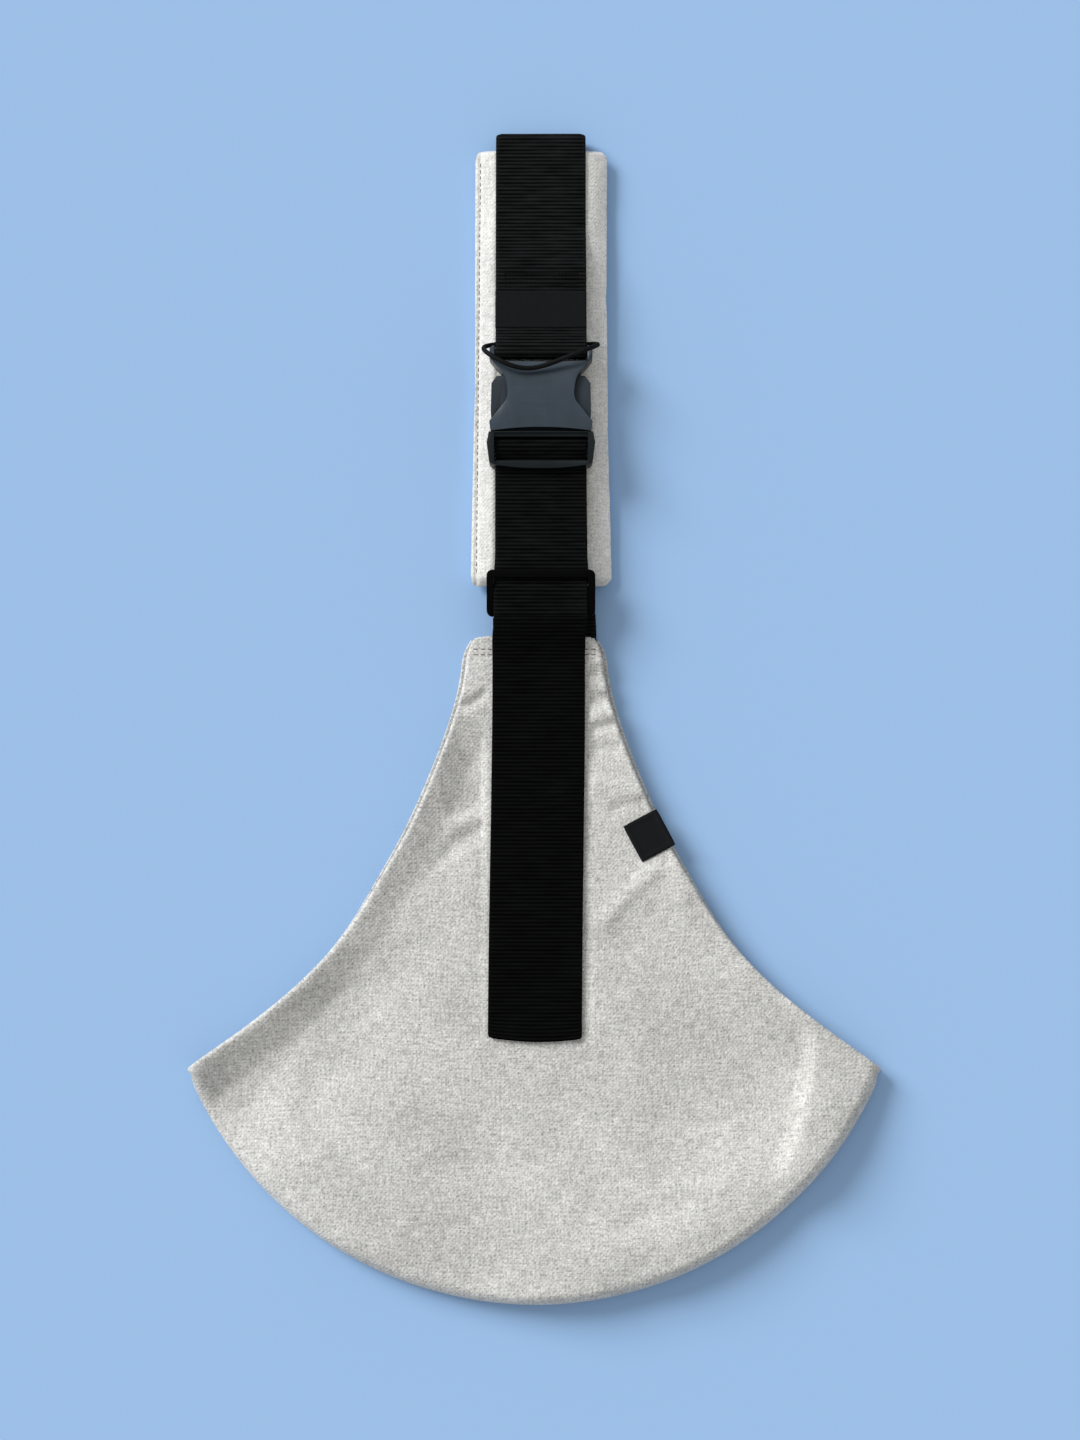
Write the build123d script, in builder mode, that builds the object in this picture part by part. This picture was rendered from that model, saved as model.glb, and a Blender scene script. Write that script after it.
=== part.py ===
from build123d import *
import os
from math import cos, radians, sin, sqrt

# A cross-body sling carrier for a small child, lying flat and folded double: a canvas seat, a padded
# shoulder strap, a side-release buckle, a three-bar slider and a free tail of webbing.
# Millimetres. X runs across the strap, Y along it towards the shoulder fold, Z up from the floor.
# The origin is the bottom centre of the whole bounding box.

# ---------------------------------------------------------------- driving dimensions
STRAP_LENGTH = 284.0            # seat's neck edge to shoulder fold
STRAP_X = 3.5                   # the strap lies this far right of the seat's centreline

WEBBING_WIDTH = 50.0
WEBBING_THICKNESS = 1.4
LAYER_GAP = 0.3                 # air between soft layers that are free of each other
SEWN_GAP = 0.05                 # between two layers of webbing that thread holds together
WEBBING_BEND = 8.0              # radius of a gentle bend
WEBBING_TIGHT_BEND = 2.0        # radius of a bend close to the hardware

SEAT_LENGTH = 357.0             # neck edge to bottom edge
SEAT_BOTTOM_RADIUS = 203.0      # the curved bottom seam is one arc
SEAT_TIP_RISE = 122.5           # how far the side tips lie above the bottom edge
SEAT_TIP_RADIUS = 8.0
LEG_HOLLOW = [(0.134, 0.334), (0.403, 0.659), (0.666, 0.842)]  # leg edge: shares of its run across, down
NECK_WIDTH = 78.0
PANEL_THICKNESS = 1.5           # one canvas panel, lined
BACK_PANEL_PEEK = 3.0           # the back panel shows past the front one along the leg edges
POUCH_HEIGHT = 8.0              # inside height between the two panels
SEAM_ALLOWANCE = 2.0            # flat width where the panels are sewn together
POUCH_SLOPE_WIDTH = 15.0        # run from the seam up to the pouch's flat top
HEM_DEPTH = 12.0                # turned hem at each neck
HEM_THICKNESS = 1.2
HEM_STITCH_INSET = 1.5          # hem's lower edge to the first row of thread

PAD_LENGTH = 247.0
PAD_WIDTH = 75.5                # stuffed part, without its seam flange
PAD_THICKNESS = 8.3
PAD_CORNER_RADIUS = 9.0
PAD_TOP_EDGE_RADIUS = 3.6
PAD_BOTTOM_EDGE_RADIUS = 2.0
PAD_COVER_THICKNESS = 0.9
PAD_FOAM_CLEARANCE = 0.1
PAD_FLANGE_WIDTH = 4.0          # flat seam along the pad's left side
PAD_FLANGE_THICKNESS = 2.4
FOLD_TO_PAD = 9.9               # shoulder fold to the pad's upper end

NECK_SEWN_LENGTH = 32.0         # webbing sewn down behind each neck edge
NECK_TO_FLOOR_RUN = 14.0        # run in which the back webbing comes down from the neck
BUCKLE_MOUTH_FROM_FOLD = 173.1  # shoulder fold to the buckle's mouth line
BUCKLE_THICKNESS = 13.0
BUCKLE_LIFT = LAYER_GAP         # buckle above the pad
PLASTIC_WALL = 2.2

FEMALE_LENGTH = 48.5
FEMALE_RAIL_WIDTH = 2.7         # beside the webbing slot
FEMALE_SLOT_CLEARANCE = 0.5     # webbing edge to rail
FEMALE_BAR_DIAMETER = 4.0
FEMALE_BAR_FROM_BODY = 5.6
FEMALE_BAR_TO_SLOT_END = 4.0    # open length behind the webbing that goes round the bar
FEMALE_FLARE_LENGTH = 5.5       # the sides are full width this far from the mouth
FEMALE_WAIST_START = 16.5       # where the waist begins, from the mouth
FEMALE_WAIST_MIDDLE = 24.0
FEMALE_WAIST_END = 31.0
FEMALE_WAIST_INSET = 9.8        # how far the waist bares the arms
FEMALE_WAIST_EASE = 1.8         # the waist widens by this much at its end
FEMALE_BODY_LENGTH = 39.3       # mouth to the webbing slot
FEMALE_CAVITY_LENGTH = 33.5
FEMALE_MOUTH_ARCH = 1.9
FEMALE_RAIL_CORNER = 3.0
FEMALE_SIDE_WALL = 1.9
RIDGE_DEPTH = 3.5               # how far the face drops behind the ridge line
RIDGE_FROM_MOUTH = 28.2         # nearest point of the curved ridge line
RIDGE_RADIUS = 61.0
CROWN = 0.8                     # the faces are this much lower at their sides

MALE_RAIL_WIDTH = 4.15
MALE_LENGTH = 20.4
MALE_TAPER = 1.7                # each rail leans in by this much at its lower end
MALE_BOTTOM_BOW = 2.5           # the bottom bar's lower edge bulges by this much
MALE_SHOULDER = 0.2             # the rails lean in by this much over their upper part
MALE_SHOULDER_LENGTH = 6.0
MALE_CORNER = 2.4
MALE_TOP_BAR_WIDTH = 2.5
MALE_TOP_BAR_HEIGHT = 4.4
MALE_BASE_LENGTH = 7.4          # block inside the mouth that holds the arm sockets
MALE_BASE_CLEARANCE = 0.4       # above and below that block
MOUTH_CLEARANCE = 0.4
MALE_RAIL_CLEARANCE = 0.6       # webbing edge to rail
MALE_BAR_DIAMETER = 3.0
MALE_BAR_FROM_MOUTH = 6.4
MALE_BOTTOM_BAR_WIDTH = 4.2
MALE_BOTTOM_BAR_HEIGHT = 3.6
TONGUE_WIDTH = 10.0
TONGUE_LENGTH = 26.0
TONGUE_CORNER = 3.0
ARM_ROOT_DIAMETER = 4.8
ARM_ROOT_INSET = 7.7            # female side to the middle of the root
ARM_ROOT_FROM_MOUTH = 4.0
ARM_ROOT_CLEARANCE = 0.08       # running clearance round each arm's root
ARM_BEAM_WIDTH = 3.2
ARM_CLEARANCE = 0.1             # above and below each arm in the cavity
ARM_CATCH_Y = 11.5              # the catch's heel, from the mouth
ARM_CATCH_REACH = 0.9           # how far the catch stands out past the cavity's side
ARM_LOBE_INSET = 0.8            # the pressed lobe stays this far inside the female's sides
ARM_LOBE_START = 15.0
ARM_LOBE_END = 31.0
ARM_CORNER = 0.7

SLIDER_LENGTH = 24.8
SLIDER_RAIL_WIDTH = 3.8
SLIDER_FROM_NECK = 10.1
SLIDER_BAR_THICKNESS = 2.2
SLIDER_BAR_WIDTH = 4.2
SLIDER_RAIL_CLEARANCE = 0.7
SLIDER_CORNER = 3.2
SLIDER_EDGE_HEIGHT = 1.6
SLIDER_LEAN = 3.0               # run in which the rails' ends slope

TAIL_END_FROM_NECK = 219.1      # free end of the tail below the neck edge
TAIL_END_BOW = 2.0              # the cut end is slightly rounded
TAIL_START_LENGTH = 3.0         # level stretch just below the slider
TAIL_DROP_LENGTH = 15.0         # run in which the tail comes down to the seat
TAIL_PIVOT_CLEARANCE = 1.0      # tail's rounded start to the slider
ROOT_RISE = 1.8                 # run in which the sewn root meets the load webbing's height

LOOP_SEWN_END_FROM_FOLD = 80.5  # where the doubled webbing of the female loop ends
STRAP_RISE_LENGTH = 22.0        # run in which the front webbing rises to the doubled part
LABEL_LENGTH = 20.8
LABEL_FROM_LOOP_END = 12.7
LABEL_THICKNESS = 0.5
LABEL_MARGIN = 1.0              # level webbing past the label
SIDE_LABEL_WIDTH = 20.5
SIDE_LABEL_LENGTH = 22.0
SIDE_LABEL_ANGLE = 28.0
SIDE_LABEL_FROM_NECK = 108.9
SIDE_LABEL_X = 62.0
SIDE_LABEL_THICKNESS = 0.6
SIDE_LABEL_CORNER = 0.8
ELASTIC_DIAMETER = 2.6
ELASTIC_SIDE_CLEARANCE = 0.8    # elastic to the female's sides
ELASTIC_BACK_INSET = 0.5        # straight stretch behind the webbing, short of each webbing edge
ELASTIC_DIP = 17.0              # how far the front span hangs towards the mouth
ELASTIC_TURN = 3.6              # run over the rail in which it comes up to the front

STITCH_LENGTH = 2.6
STITCH_PITCH = 3.6
STITCH_WIDTH = 0.6
STITCH_HEIGHT = 0.25
STITCH_ROW_GAP = 3.0
TACK_ROWS = 3
TACK_MARGIN = 4.0               # webbing edge to the end of a tack
TACK_INSET = 2.5                # webbing's cut end to the first tack

# ---------------------------------------------------------------- places that follow from them
OVERALL_LENGTH = SEAT_LENGTH + STRAP_LENGTH
FOLD_Y = OVERALL_LENGTH / 2
SEAT_BOTTOM_Y = -OVERALL_LENGTH / 2
NECK_Y = SEAT_BOTTOM_Y + SEAT_LENGTH
ARC_CENTRE_Y = SEAT_BOTTOM_Y + SEAT_BOTTOM_RADIUS
TIP_Y = SEAT_BOTTOM_Y + SEAT_TIP_RISE
TIP_X = sqrt(SEAT_BOTTOM_RADIUS**2 - (TIP_Y - ARC_CENTRE_Y) ** 2)
HALF_WEB = WEBBING_THICKNESS / 2

FRONT_PANEL_BOTTOM_Z = PANEL_THICKNESS + POUCH_HEIGHT
FRONT_PANEL_TOP_Z = FRONT_PANEL_BOTTOM_Z + PANEL_THICKNESS

PAD_TOP_Y = FOLD_Y - FOLD_TO_PAD
PAD_BOTTOM_Y = PAD_TOP_Y - PAD_LENGTH
PAD_Y = (PAD_TOP_Y + PAD_BOTTOM_Y) / 2
PAD_FLOOR_Z = WEBBING_THICKNESS
PAD_TOP_Z = PAD_FLOOR_Z + PAD_THICKNESS
PAD_X = STRAP_X + PAD_FLANGE_WIDTH / 2
FLANGE_X = PAD_X - PAD_WIDTH / 2 - PAD_FLANGE_WIDTH / 2

MOUTH_Y = FOLD_Y - BUCKLE_MOUTH_FROM_FOLD
BUCKLE_Z = PAD_TOP_Z + BUCKLE_LIFT
FEMALE_SLOT_WIDTH = WEBBING_WIDTH + 2 * FEMALE_SLOT_CLEARANCE
FEMALE_WIDTH = FEMALE_SLOT_WIDTH + 2 * FEMALE_RAIL_WIDTH
FEMALE_BAR_Y = MOUTH_Y + FEMALE_BODY_LENGTH + FEMALE_BAR_FROM_BODY
FEMALE_BAR_Z = BUCKLE_Z + BUCKLE_THICKNESS / 2
FEMALE_LOOP_RADIUS = FEMALE_BAR_DIAMETER / 2 + LAYER_GAP + HALF_WEB
FEMALE_CAVITY_WIDTH = FEMALE_WIDTH - 2 * FEMALE_SIDE_WALL
CAVITY_HEIGHT = BUCKLE_THICKNESS - 2 * PLASTIC_WALL - CROWN
ARM_ROOT_X = FEMALE_WIDTH / 2 - ARM_ROOT_INSET

SLIDER_BOTTOM_Z = FRONT_PANEL_TOP_Z + LAYER_GAP
SLIDER_BOTTOM_Y = NECK_Y + SLIDER_FROM_NECK
LOAD_Z = SLIDER_BOTTOM_Z + SLIDER_BAR_THICKNESS + LAYER_GAP + HALF_WEB
RETURN_Z = LOAD_Z + WEBBING_THICKNESS + LAYER_GAP
SLIDER_FRONT_BAR_Z = RETURN_Z + HALF_WEB + LAYER_GAP
MALE_LOOP_RADIUS = MALE_BAR_DIAMETER / 2 + LAYER_GAP + HALF_WEB
MALE_BAR_Y = MOUTH_Y - MALE_BAR_FROM_MOUTH
MALE_BAR_Z = LOAD_Z + MALE_LOOP_RADIUS
MALE_WINDOW_WIDTH = WEBBING_WIDTH + 2 * MALE_RAIL_CLEARANCE
MALE_WIDTH = MALE_WINDOW_WIDTH + 2 * MALE_RAIL_WIDTH
SLIDER_WINDOW_WIDTH = WEBBING_WIDTH + 2 * SLIDER_RAIL_CLEARANCE
SLIDER_WIDTH = SLIDER_WINDOW_WIDTH + 2 * SLIDER_RAIL_WIDTH
TAIL_PIVOT_Y = SLIDER_BOTTOM_Y - HALF_WEB - TAIL_PIVOT_CLEARANCE
TAIL_Z = FRONT_PANEL_TOP_Z + LAYER_GAP + HALF_WEB
TAIL_END_Y = NECK_Y - TAIL_END_FROM_NECK
STRAP_SPLIT_Y = TAIL_PIVOT_Y + HALF_WEB + LAYER_GAP
LOOP_END_Y = FOLD_Y - LOOP_SEWN_END_FROM_FOLD
DOUBLED_BACK_Z = FEMALE_BAR_Z - FEMALE_LOOP_RADIUS
DOUBLED_FRONT_Z = DOUBLED_BACK_Z + WEBBING_THICKNESS + SEWN_GAP
LABEL_Y = LOOP_END_Y - LABEL_FROM_LOOP_END - LABEL_LENGTH / 2


def save(builder, name):
    """Name a finished piece and write it to its own STEP file."""
    builder.part.label = name
    export_step(builder.part, f"parts/{name}.step")


def seat_face(peek):
    """The seat's outline: a straight neck edge, two hollow leg edges and one round bottom edge."""
    neck_x = NECK_WIDTH / 2
    across = TIP_X - neck_x
    down = NECK_Y - TIP_Y
    leg_points = [(neck_x + peek + u * across, NECK_Y - v * down) for u, v in LEG_HOLLOW]
    low_angle = radians(35)
    low_x = SEAT_BOTTOM_RADIUS * sin(low_angle)
    low_y = ARC_CENTRE_Y - SEAT_BOTTOM_RADIUS * cos(low_angle)
    with BuildSketch() as face:
        with BuildLine():
            neck = Line((0, NECK_Y), (neck_x, NECK_Y))
            leg = Spline(neck @ 1, *leg_points, (TIP_X, TIP_Y), tangents=[(0, -1), (1.5, -1)])
            ThreePointArc(leg @ 1, (low_x, low_y), (0, SEAT_BOTTOM_Y))
            mirror(about=Plane.YZ)
        make_face()
        corners = face.vertices().sort_by(Axis.X)
        fillet([corners[0], corners[-1]], radius=SEAT_TIP_RADIUS)
    return face.sketch


def stitch_row(start, end, z):
    """One straight row of thread dashes lying on a surface at height z."""
    row = Vector(end[0] - start[0], end[1] - start[1])
    count = max(2, int(row.length / STITCH_PITCH))
    turn = Plane.XY.offset(z)
    angle = Vector(1, 0, 0).get_signed_angle(row, Vector(0, 0, 1))
    for k in range(count):
        share = (k + 0.5) / count
        middle = (start[0] + share * row.X, start[1] + share * row.Y, 0)
        with Locations(turn * Location(middle, (0, 0, angle))):
            Box(
                STITCH_LENGTH,
                STITCH_WIDTH,
                STITCH_HEIGHT,
                align=(Align.CENTER, Align.CENTER, Align.MIN),
            )


# ---------------------------------------------------------------- seat
def make_back_panel():
    """The panel that lies on the floor, a little wider than the front one along the leg edges."""
    with BuildPart() as panel:
        with BuildSketch(Plane.XY):
            add(seat_face(BACK_PANEL_PEEK))
        extrude(amount=PANEL_THICKNESS)
    save(panel, "seat_back_panel")


def make_front_panel():
    """Flat towards the neck, sloping to the seam along the round bottom edge, open at both leg edges."""
    middle_z = FRONT_PANEL_BOTTOM_Z + PANEL_THICKNESS / 2
    seam_z = PANEL_THICKNESS * 1.5
    seam_r = SEAT_BOTTOM_RADIUS - SEAM_ALLOWANCE
    flat_r = seam_r - POUCH_SLOPE_WIDTH
    centre = Vector(0, ARC_CENTRE_Y, 0)
    with BuildPart() as panel:
        with BuildSketch(Plane(centre, x_dir=(1, 0, 0), z_dir=(0, -1, 0))):
            with BuildLine():
                FilletPolyline(
                    (0, middle_z),
                    (flat_r, middle_z),
                    (seam_r, seam_z),
                    (SEAT_BOTTOM_RADIUS + POUCH_SLOPE_WIDTH, seam_z),
                    radius=POUCH_SLOPE_WIDTH * 0.8,
                )
            trace(line_width=PANEL_THICKNESS)
        revolve(axis=Axis(centre, (0, 0, -1)), revolution_arc=180)
        with BuildSketch(Plane.XY.offset(FRONT_PANEL_BOTTOM_Z)):
            with Locations((0, (ARC_CENTRE_Y + NECK_Y) / 2)):
                Rectangle(2 * flat_r, NECK_Y - ARC_CENTRE_Y)
        extrude(amount=PANEL_THICKNESS)
        with BuildSketch(Plane.XY):
            add(seat_face(0))
        extrude(amount=2 * FRONT_PANEL_TOP_Z, mode=Mode.INTERSECT)
    save(panel, "seat_front_panel")


def make_neck_hem(name, bottom_z):
    """The canvas turned in along a neck edge, where the webbing is sewn on."""
    with BuildPart() as hem:
        with BuildSketch(Plane.XY.offset(bottom_z)):
            with Locations((0, NECK_Y - HEM_DEPTH / 2)):
                Rectangle(NECK_WIDTH - 2 * PANEL_THICKNESS, HEM_DEPTH)
        extrude(amount=HEM_THICKNESS)
    save(hem, name)


def make_neck_stitches():
    """Two rows of thread across the front of the neck, holding the hem and the webbing end."""
    half = NECK_WIDTH / 2 - 3 * PANEL_THICKNESS
    with BuildPart() as thread:
        for k in range(2):
            y = NECK_Y - HEM_DEPTH + HEM_STITCH_INSET + k * STITCH_ROW_GAP
            stitch_row((-half, y), (half, y), FRONT_PANEL_TOP_Z)
    save(thread, "neck_hem_stitches")


# ---------------------------------------------------------------- shoulder pad
def pad_block(inset):
    """A stuffed slab with rounded corners and edges, smaller than the pad by inset all round."""
    with BuildPart() as block:
        with BuildSketch(Plane((PAD_X, PAD_Y, PAD_FLOOR_Z + inset))):
            RectangleRounded(PAD_WIDTH - 2 * inset, PAD_LENGTH - 2 * inset, PAD_CORNER_RADIUS - inset)
        extrude(amount=PAD_THICKNESS - 2 * inset)
        fillet(block.faces().sort_by(Axis.Z)[-1].edges(), radius=PAD_TOP_EDGE_RADIUS - inset)
        fillet(block.faces().sort_by(Axis.Z)[0].edges(), radius=PAD_BOTTOM_EDGE_RADIUS - inset)
    return block.part


def make_pad():
    """The pad's canvas cover, the foam inside it and the flat seam along its left side."""
    with BuildPart() as cover:
        add(pad_block(0))
        add(pad_block(PAD_COVER_THICKNESS), mode=Mode.SUBTRACT)
    save(cover, "pad_cover")
    with BuildPart() as foam:
        add(pad_block(PAD_COVER_THICKNESS + PAD_FOAM_CLEARANCE))
    save(foam, "pad_foam")
    length = PAD_LENGTH - 2 * PAD_CORNER_RADIUS
    with BuildPart() as flange:
        with BuildSketch(Plane((FLANGE_X, PAD_Y, PAD_FLOOR_Z + PAD_BOTTOM_EDGE_RADIUS))):
            RectangleRounded(PAD_FLANGE_WIDTH, length, PAD_FLANGE_WIDTH / 2 - 0.1)
        extrude(amount=PAD_FLANGE_THICKNESS)
    save(flange, "pad_seam_flange")
    top_z = PAD_FLOOR_Z + PAD_BOTTOM_EDGE_RADIUS + PAD_FLANGE_THICKNESS
    half = length / 2 - PAD_FLANGE_WIDTH
    with BuildPart() as thread:
        stitch_row((FLANGE_X, PAD_Y - half), (FLANGE_X, PAD_Y + half), top_z)
    save(thread, "pad_seam_stitches")


# ---------------------------------------------------------------- webbing
def make_shoulder_webbing():
    """From behind the seat's neck, under the pad, over the shoulder fold and round the female bar."""
    floor_z = HALF_WEB
    sewn_z = PANEL_THICKNESS + HEM_THICKNESS + HALF_WEB
    front_z = PAD_TOP_Z + LAYER_GAP + HALF_WEB
    fold_radius = (front_z - floor_z) / 2
    fold_y = FOLD_Y - HALF_WEB - fold_radius
    loop_top_z = FEMALE_BAR_Z + FEMALE_LOOP_RADIUS
    with BuildPart() as webbing:
        with BuildSketch(Plane.YZ.offset(STRAP_X - WEBBING_WIDTH / 2)):
            with BuildLine():
                rear = FilletPolyline(
                    (NECK_Y - NECK_SEWN_LENGTH, sewn_z),
                    (NECK_Y + 1, sewn_z),
                    (NECK_Y + NECK_TO_FLOOR_RUN, floor_z),
                    (fold_y, floor_z),
                    radius=WEBBING_BEND,
                )
                fold = ThreePointArc(
                    rear @ 1, (fold_y + fold_radius, floor_z + fold_radius), (fold_y, front_z)
                )
                front = FilletPolyline(
                    fold @ 1,
                    (LOOP_END_Y + STRAP_RISE_LENGTH, front_z),
                    (LOOP_END_Y + WEBBING_TIGHT_BEND, DOUBLED_FRONT_Z),
                    (LABEL_Y - LABEL_LENGTH / 2 - LABEL_MARGIN, DOUBLED_FRONT_Z),
                    (FEMALE_BAR_Y + 2 * WEBBING_TIGHT_BEND, loop_top_z),
                    (FEMALE_BAR_Y, loop_top_z),
                    radius=2 * WEBBING_TIGHT_BEND,
                )
                loop = ThreePointArc(
                    front @ 1,
                    (FEMALE_BAR_Y - FEMALE_LOOP_RADIUS, FEMALE_BAR_Z),
                    (FEMALE_BAR_Y, DOUBLED_BACK_Z),
                )
                Line(loop @ 1, (LOOP_END_Y, DOUBLED_BACK_Z))
            trace(line_width=WEBBING_THICKNESS)
        extrude(amount=WEBBING_WIDTH)
    save(webbing, "shoulder_webbing")


def make_load_webbing():
    """The two straight layers between slider and buckle, and the turn round the male bar."""
    over_z = MALE_BAR_Z + MALE_LOOP_RADIUS
    return_run = 2 * (over_z - RETURN_Z)
    with BuildPart() as webbing:
        with BuildSketch(Plane.YZ.offset(STRAP_X - WEBBING_WIDTH / 2)):
            with BuildLine():
                load = Line((STRAP_SPLIT_Y, LOAD_Z), (MALE_BAR_Y, LOAD_Z))
                loop = ThreePointArc(
                    load @ 1, (MALE_BAR_Y + MALE_LOOP_RADIUS, MALE_BAR_Z), (MALE_BAR_Y, over_z)
                )
                FilletPolyline(
                    loop @ 1,
                    (MALE_BAR_Y - MALE_LOOP_RADIUS, over_z),
                    (MALE_BAR_Y - MALE_LOOP_RADIUS - return_run, RETURN_Z),
                    (STRAP_SPLIT_Y, RETURN_Z),
                    radius=WEBBING_TIGHT_BEND,
                )
            trace(line_width=WEBBING_THICKNESS)
        extrude(amount=WEBBING_WIDTH)
    save(webbing, "load_webbing")


def make_load_webbing_root():
    """The short end of the same webbing, sewn behind the front neck and free to buckle."""
    sewn_z = FRONT_PANEL_BOTTOM_Z - HEM_THICKNESS - HALF_WEB
    with BuildPart() as webbing:
        with BuildSketch(Plane.YZ.offset(STRAP_X - WEBBING_WIDTH / 2)):
            with BuildLine():
                FilletPolyline(
                    (NECK_Y - NECK_SEWN_LENGTH, sewn_z),
                    (NECK_Y + HALF_WEB, sewn_z),
                    (STRAP_SPLIT_Y - ROOT_RISE, LOAD_Z),
                    (STRAP_SPLIT_Y - LAYER_GAP, LOAD_Z),
                    radius=1,
                )
            trace(line_width=WEBBING_THICKNESS)
        extrude(amount=WEBBING_WIDTH)
    save(webbing, "load_webbing_root")


def make_tail():
    """The free end: it leaves the slider in front, comes down over the neck and lies on the seat."""
    with BuildPart() as tail:
        with BuildSketch(Plane.YZ.offset(STRAP_X - WEBBING_WIDTH / 2)):
            with BuildLine():
                FilletPolyline(
                    (TAIL_PIVOT_Y, RETURN_Z),
                    (TAIL_PIVOT_Y - TAIL_START_LENGTH, RETURN_Z),
                    (TAIL_PIVOT_Y - TAIL_START_LENGTH - TAIL_DROP_LENGTH, TAIL_Z),
                    (TAIL_END_Y, TAIL_Z),
                    radius=WEBBING_BEND,
                )
            trace(line_width=WEBBING_THICKNESS)
            with Locations((TAIL_PIVOT_Y, RETURN_Z)):
                Circle(HALF_WEB)
        extrude(amount=WEBBING_WIDTH)
        with BuildSketch(Plane((STRAP_X, TAIL_END_Y, 0))):
            with BuildLine():
                half = WEBBING_WIDTH / 2
                length = TAIL_PIVOT_Y - TAIL_END_Y + WEBBING_WIDTH
                end = ThreePointArc((-half, TAIL_END_BOW), (0, 0), (half, TAIL_END_BOW))
                Polyline(end @ 1, (half, length), (-half, length), end @ 0)
            make_face()
        extrude(amount=2 * RETURN_Z, mode=Mode.INTERSECT)
    save(tail, "tail_webbing")


def make_loop_stitches():
    """The bar tacks that close the webbing loop of the female buckle."""
    half = WEBBING_WIDTH / 2 - TACK_MARGIN
    z = DOUBLED_FRONT_Z + HALF_WEB
    with BuildPart() as thread:
        for k in range(TACK_ROWS):
            y = LOOP_END_Y - TACK_INSET - k * STITCH_ROW_GAP
            stitch_row((STRAP_X - half, y), (STRAP_X + half, y), z)
    save(thread, "loop_box_stitches")


# ---------------------------------------------------------------- labels and elastic
def make_labels():
    """A bare band sewn across the webbing, and a bare square tag on the right leg edge."""
    with BuildPart() as band:
        with BuildSketch(Plane((STRAP_X, LABEL_Y, DOUBLED_FRONT_Z + HALF_WEB))):
            Rectangle(WEBBING_WIDTH, LABEL_LENGTH)
        extrude(amount=LABEL_THICKNESS)
    save(band, "webbing_label")
    place = Plane((SIDE_LABEL_X, NECK_Y - SIDE_LABEL_FROM_NECK, FRONT_PANEL_TOP_Z))
    with BuildPart() as tag:
        with BuildSketch(place.rotated((0, 0, SIDE_LABEL_ANGLE))):
            RectangleRounded(SIDE_LABEL_WIDTH, SIDE_LABEL_LENGTH, SIDE_LABEL_CORNER)
        extrude(amount=SIDE_LABEL_THICKNESS)
    save(tag, "side_label")


def make_elastic():
    """A round elastic ring: behind the doubled webbing, up both sides and across the buckle's face."""
    side_x = FEMALE_WIDTH / 2 + ELASTIC_DIAMETER / 2 + ELASTIC_SIDE_CLEARANCE
    side_z = FEMALE_BAR_Z - ELASTIC_DIAMETER / 2
    low_z = (PAD_TOP_Z + DOUBLED_BACK_Z - HALF_WEB) / 2
    high_z = BUCKLE_Z + BUCKLE_THICKNESS + ELASTIC_DIAMETER / 2 + LAYER_GAP
    top_y = MOUTH_Y + FEMALE_LENGTH + ELASTIC_DIAMETER
    half = WEBBING_WIDTH / 2 - ELASTIC_BACK_INSET
    route = [
        (half, top_y, low_z),
        (side_x + 0.6, top_y - 1.0, side_z),
        (side_x - ELASTIC_TURN, top_y - 5.5, high_z - 1.1),
        (side_x * 0.33, top_y - 0.735 * ELASTIC_DIP, high_z),
        (side_x * -0.297, top_y - ELASTIC_DIP, high_z),
        (ELASTIC_TURN - side_x, top_y - 10.0, high_z - 0.6),
        (-side_x - 0.6, top_y - 2.5, side_z),
        (-half, top_y, low_z),
    ]
    points = [Vector(STRAP_X + x, y, z) for x, y, z in route]
    with BuildPart() as elastic:
        with BuildLine() as path:
            Spline(*points, tangents=[(1, 0, 0), (1, 0, 0)], tangent_scalars=[0.6, 0.6])
        with BuildSketch(Plane(origin=path.line @ 0, z_dir=path.line % 0)):
            Circle(ELASTIC_DIAMETER / 2)
        sweep()
        with BuildSketch(Plane((STRAP_X - half, top_y, low_z), z_dir=(1, 0, 0))):
            Circle(ELASTIC_DIAMETER / 2)
        extrude(amount=2 * half)
    save(elastic, "elastic_keeper")


# ---------------------------------------------------------------- buckle
def crown_profile(width, thickness):
    """A cross-section with slightly domed front and back faces."""
    half = width / 2
    with BuildSketch() as profile:
        with BuildLine():
            top = ThreePointArc((-half, thickness - CROWN), (0, thickness), (half, thickness - CROWN))
            side = Line(top @ 1, (half, CROWN / 2))
            base = ThreePointArc(side @ 1, (0, 0), (-half, CROWN / 2))
            Line(base @ 1, top @ 0)
        make_face()
    return profile.sketch


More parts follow.
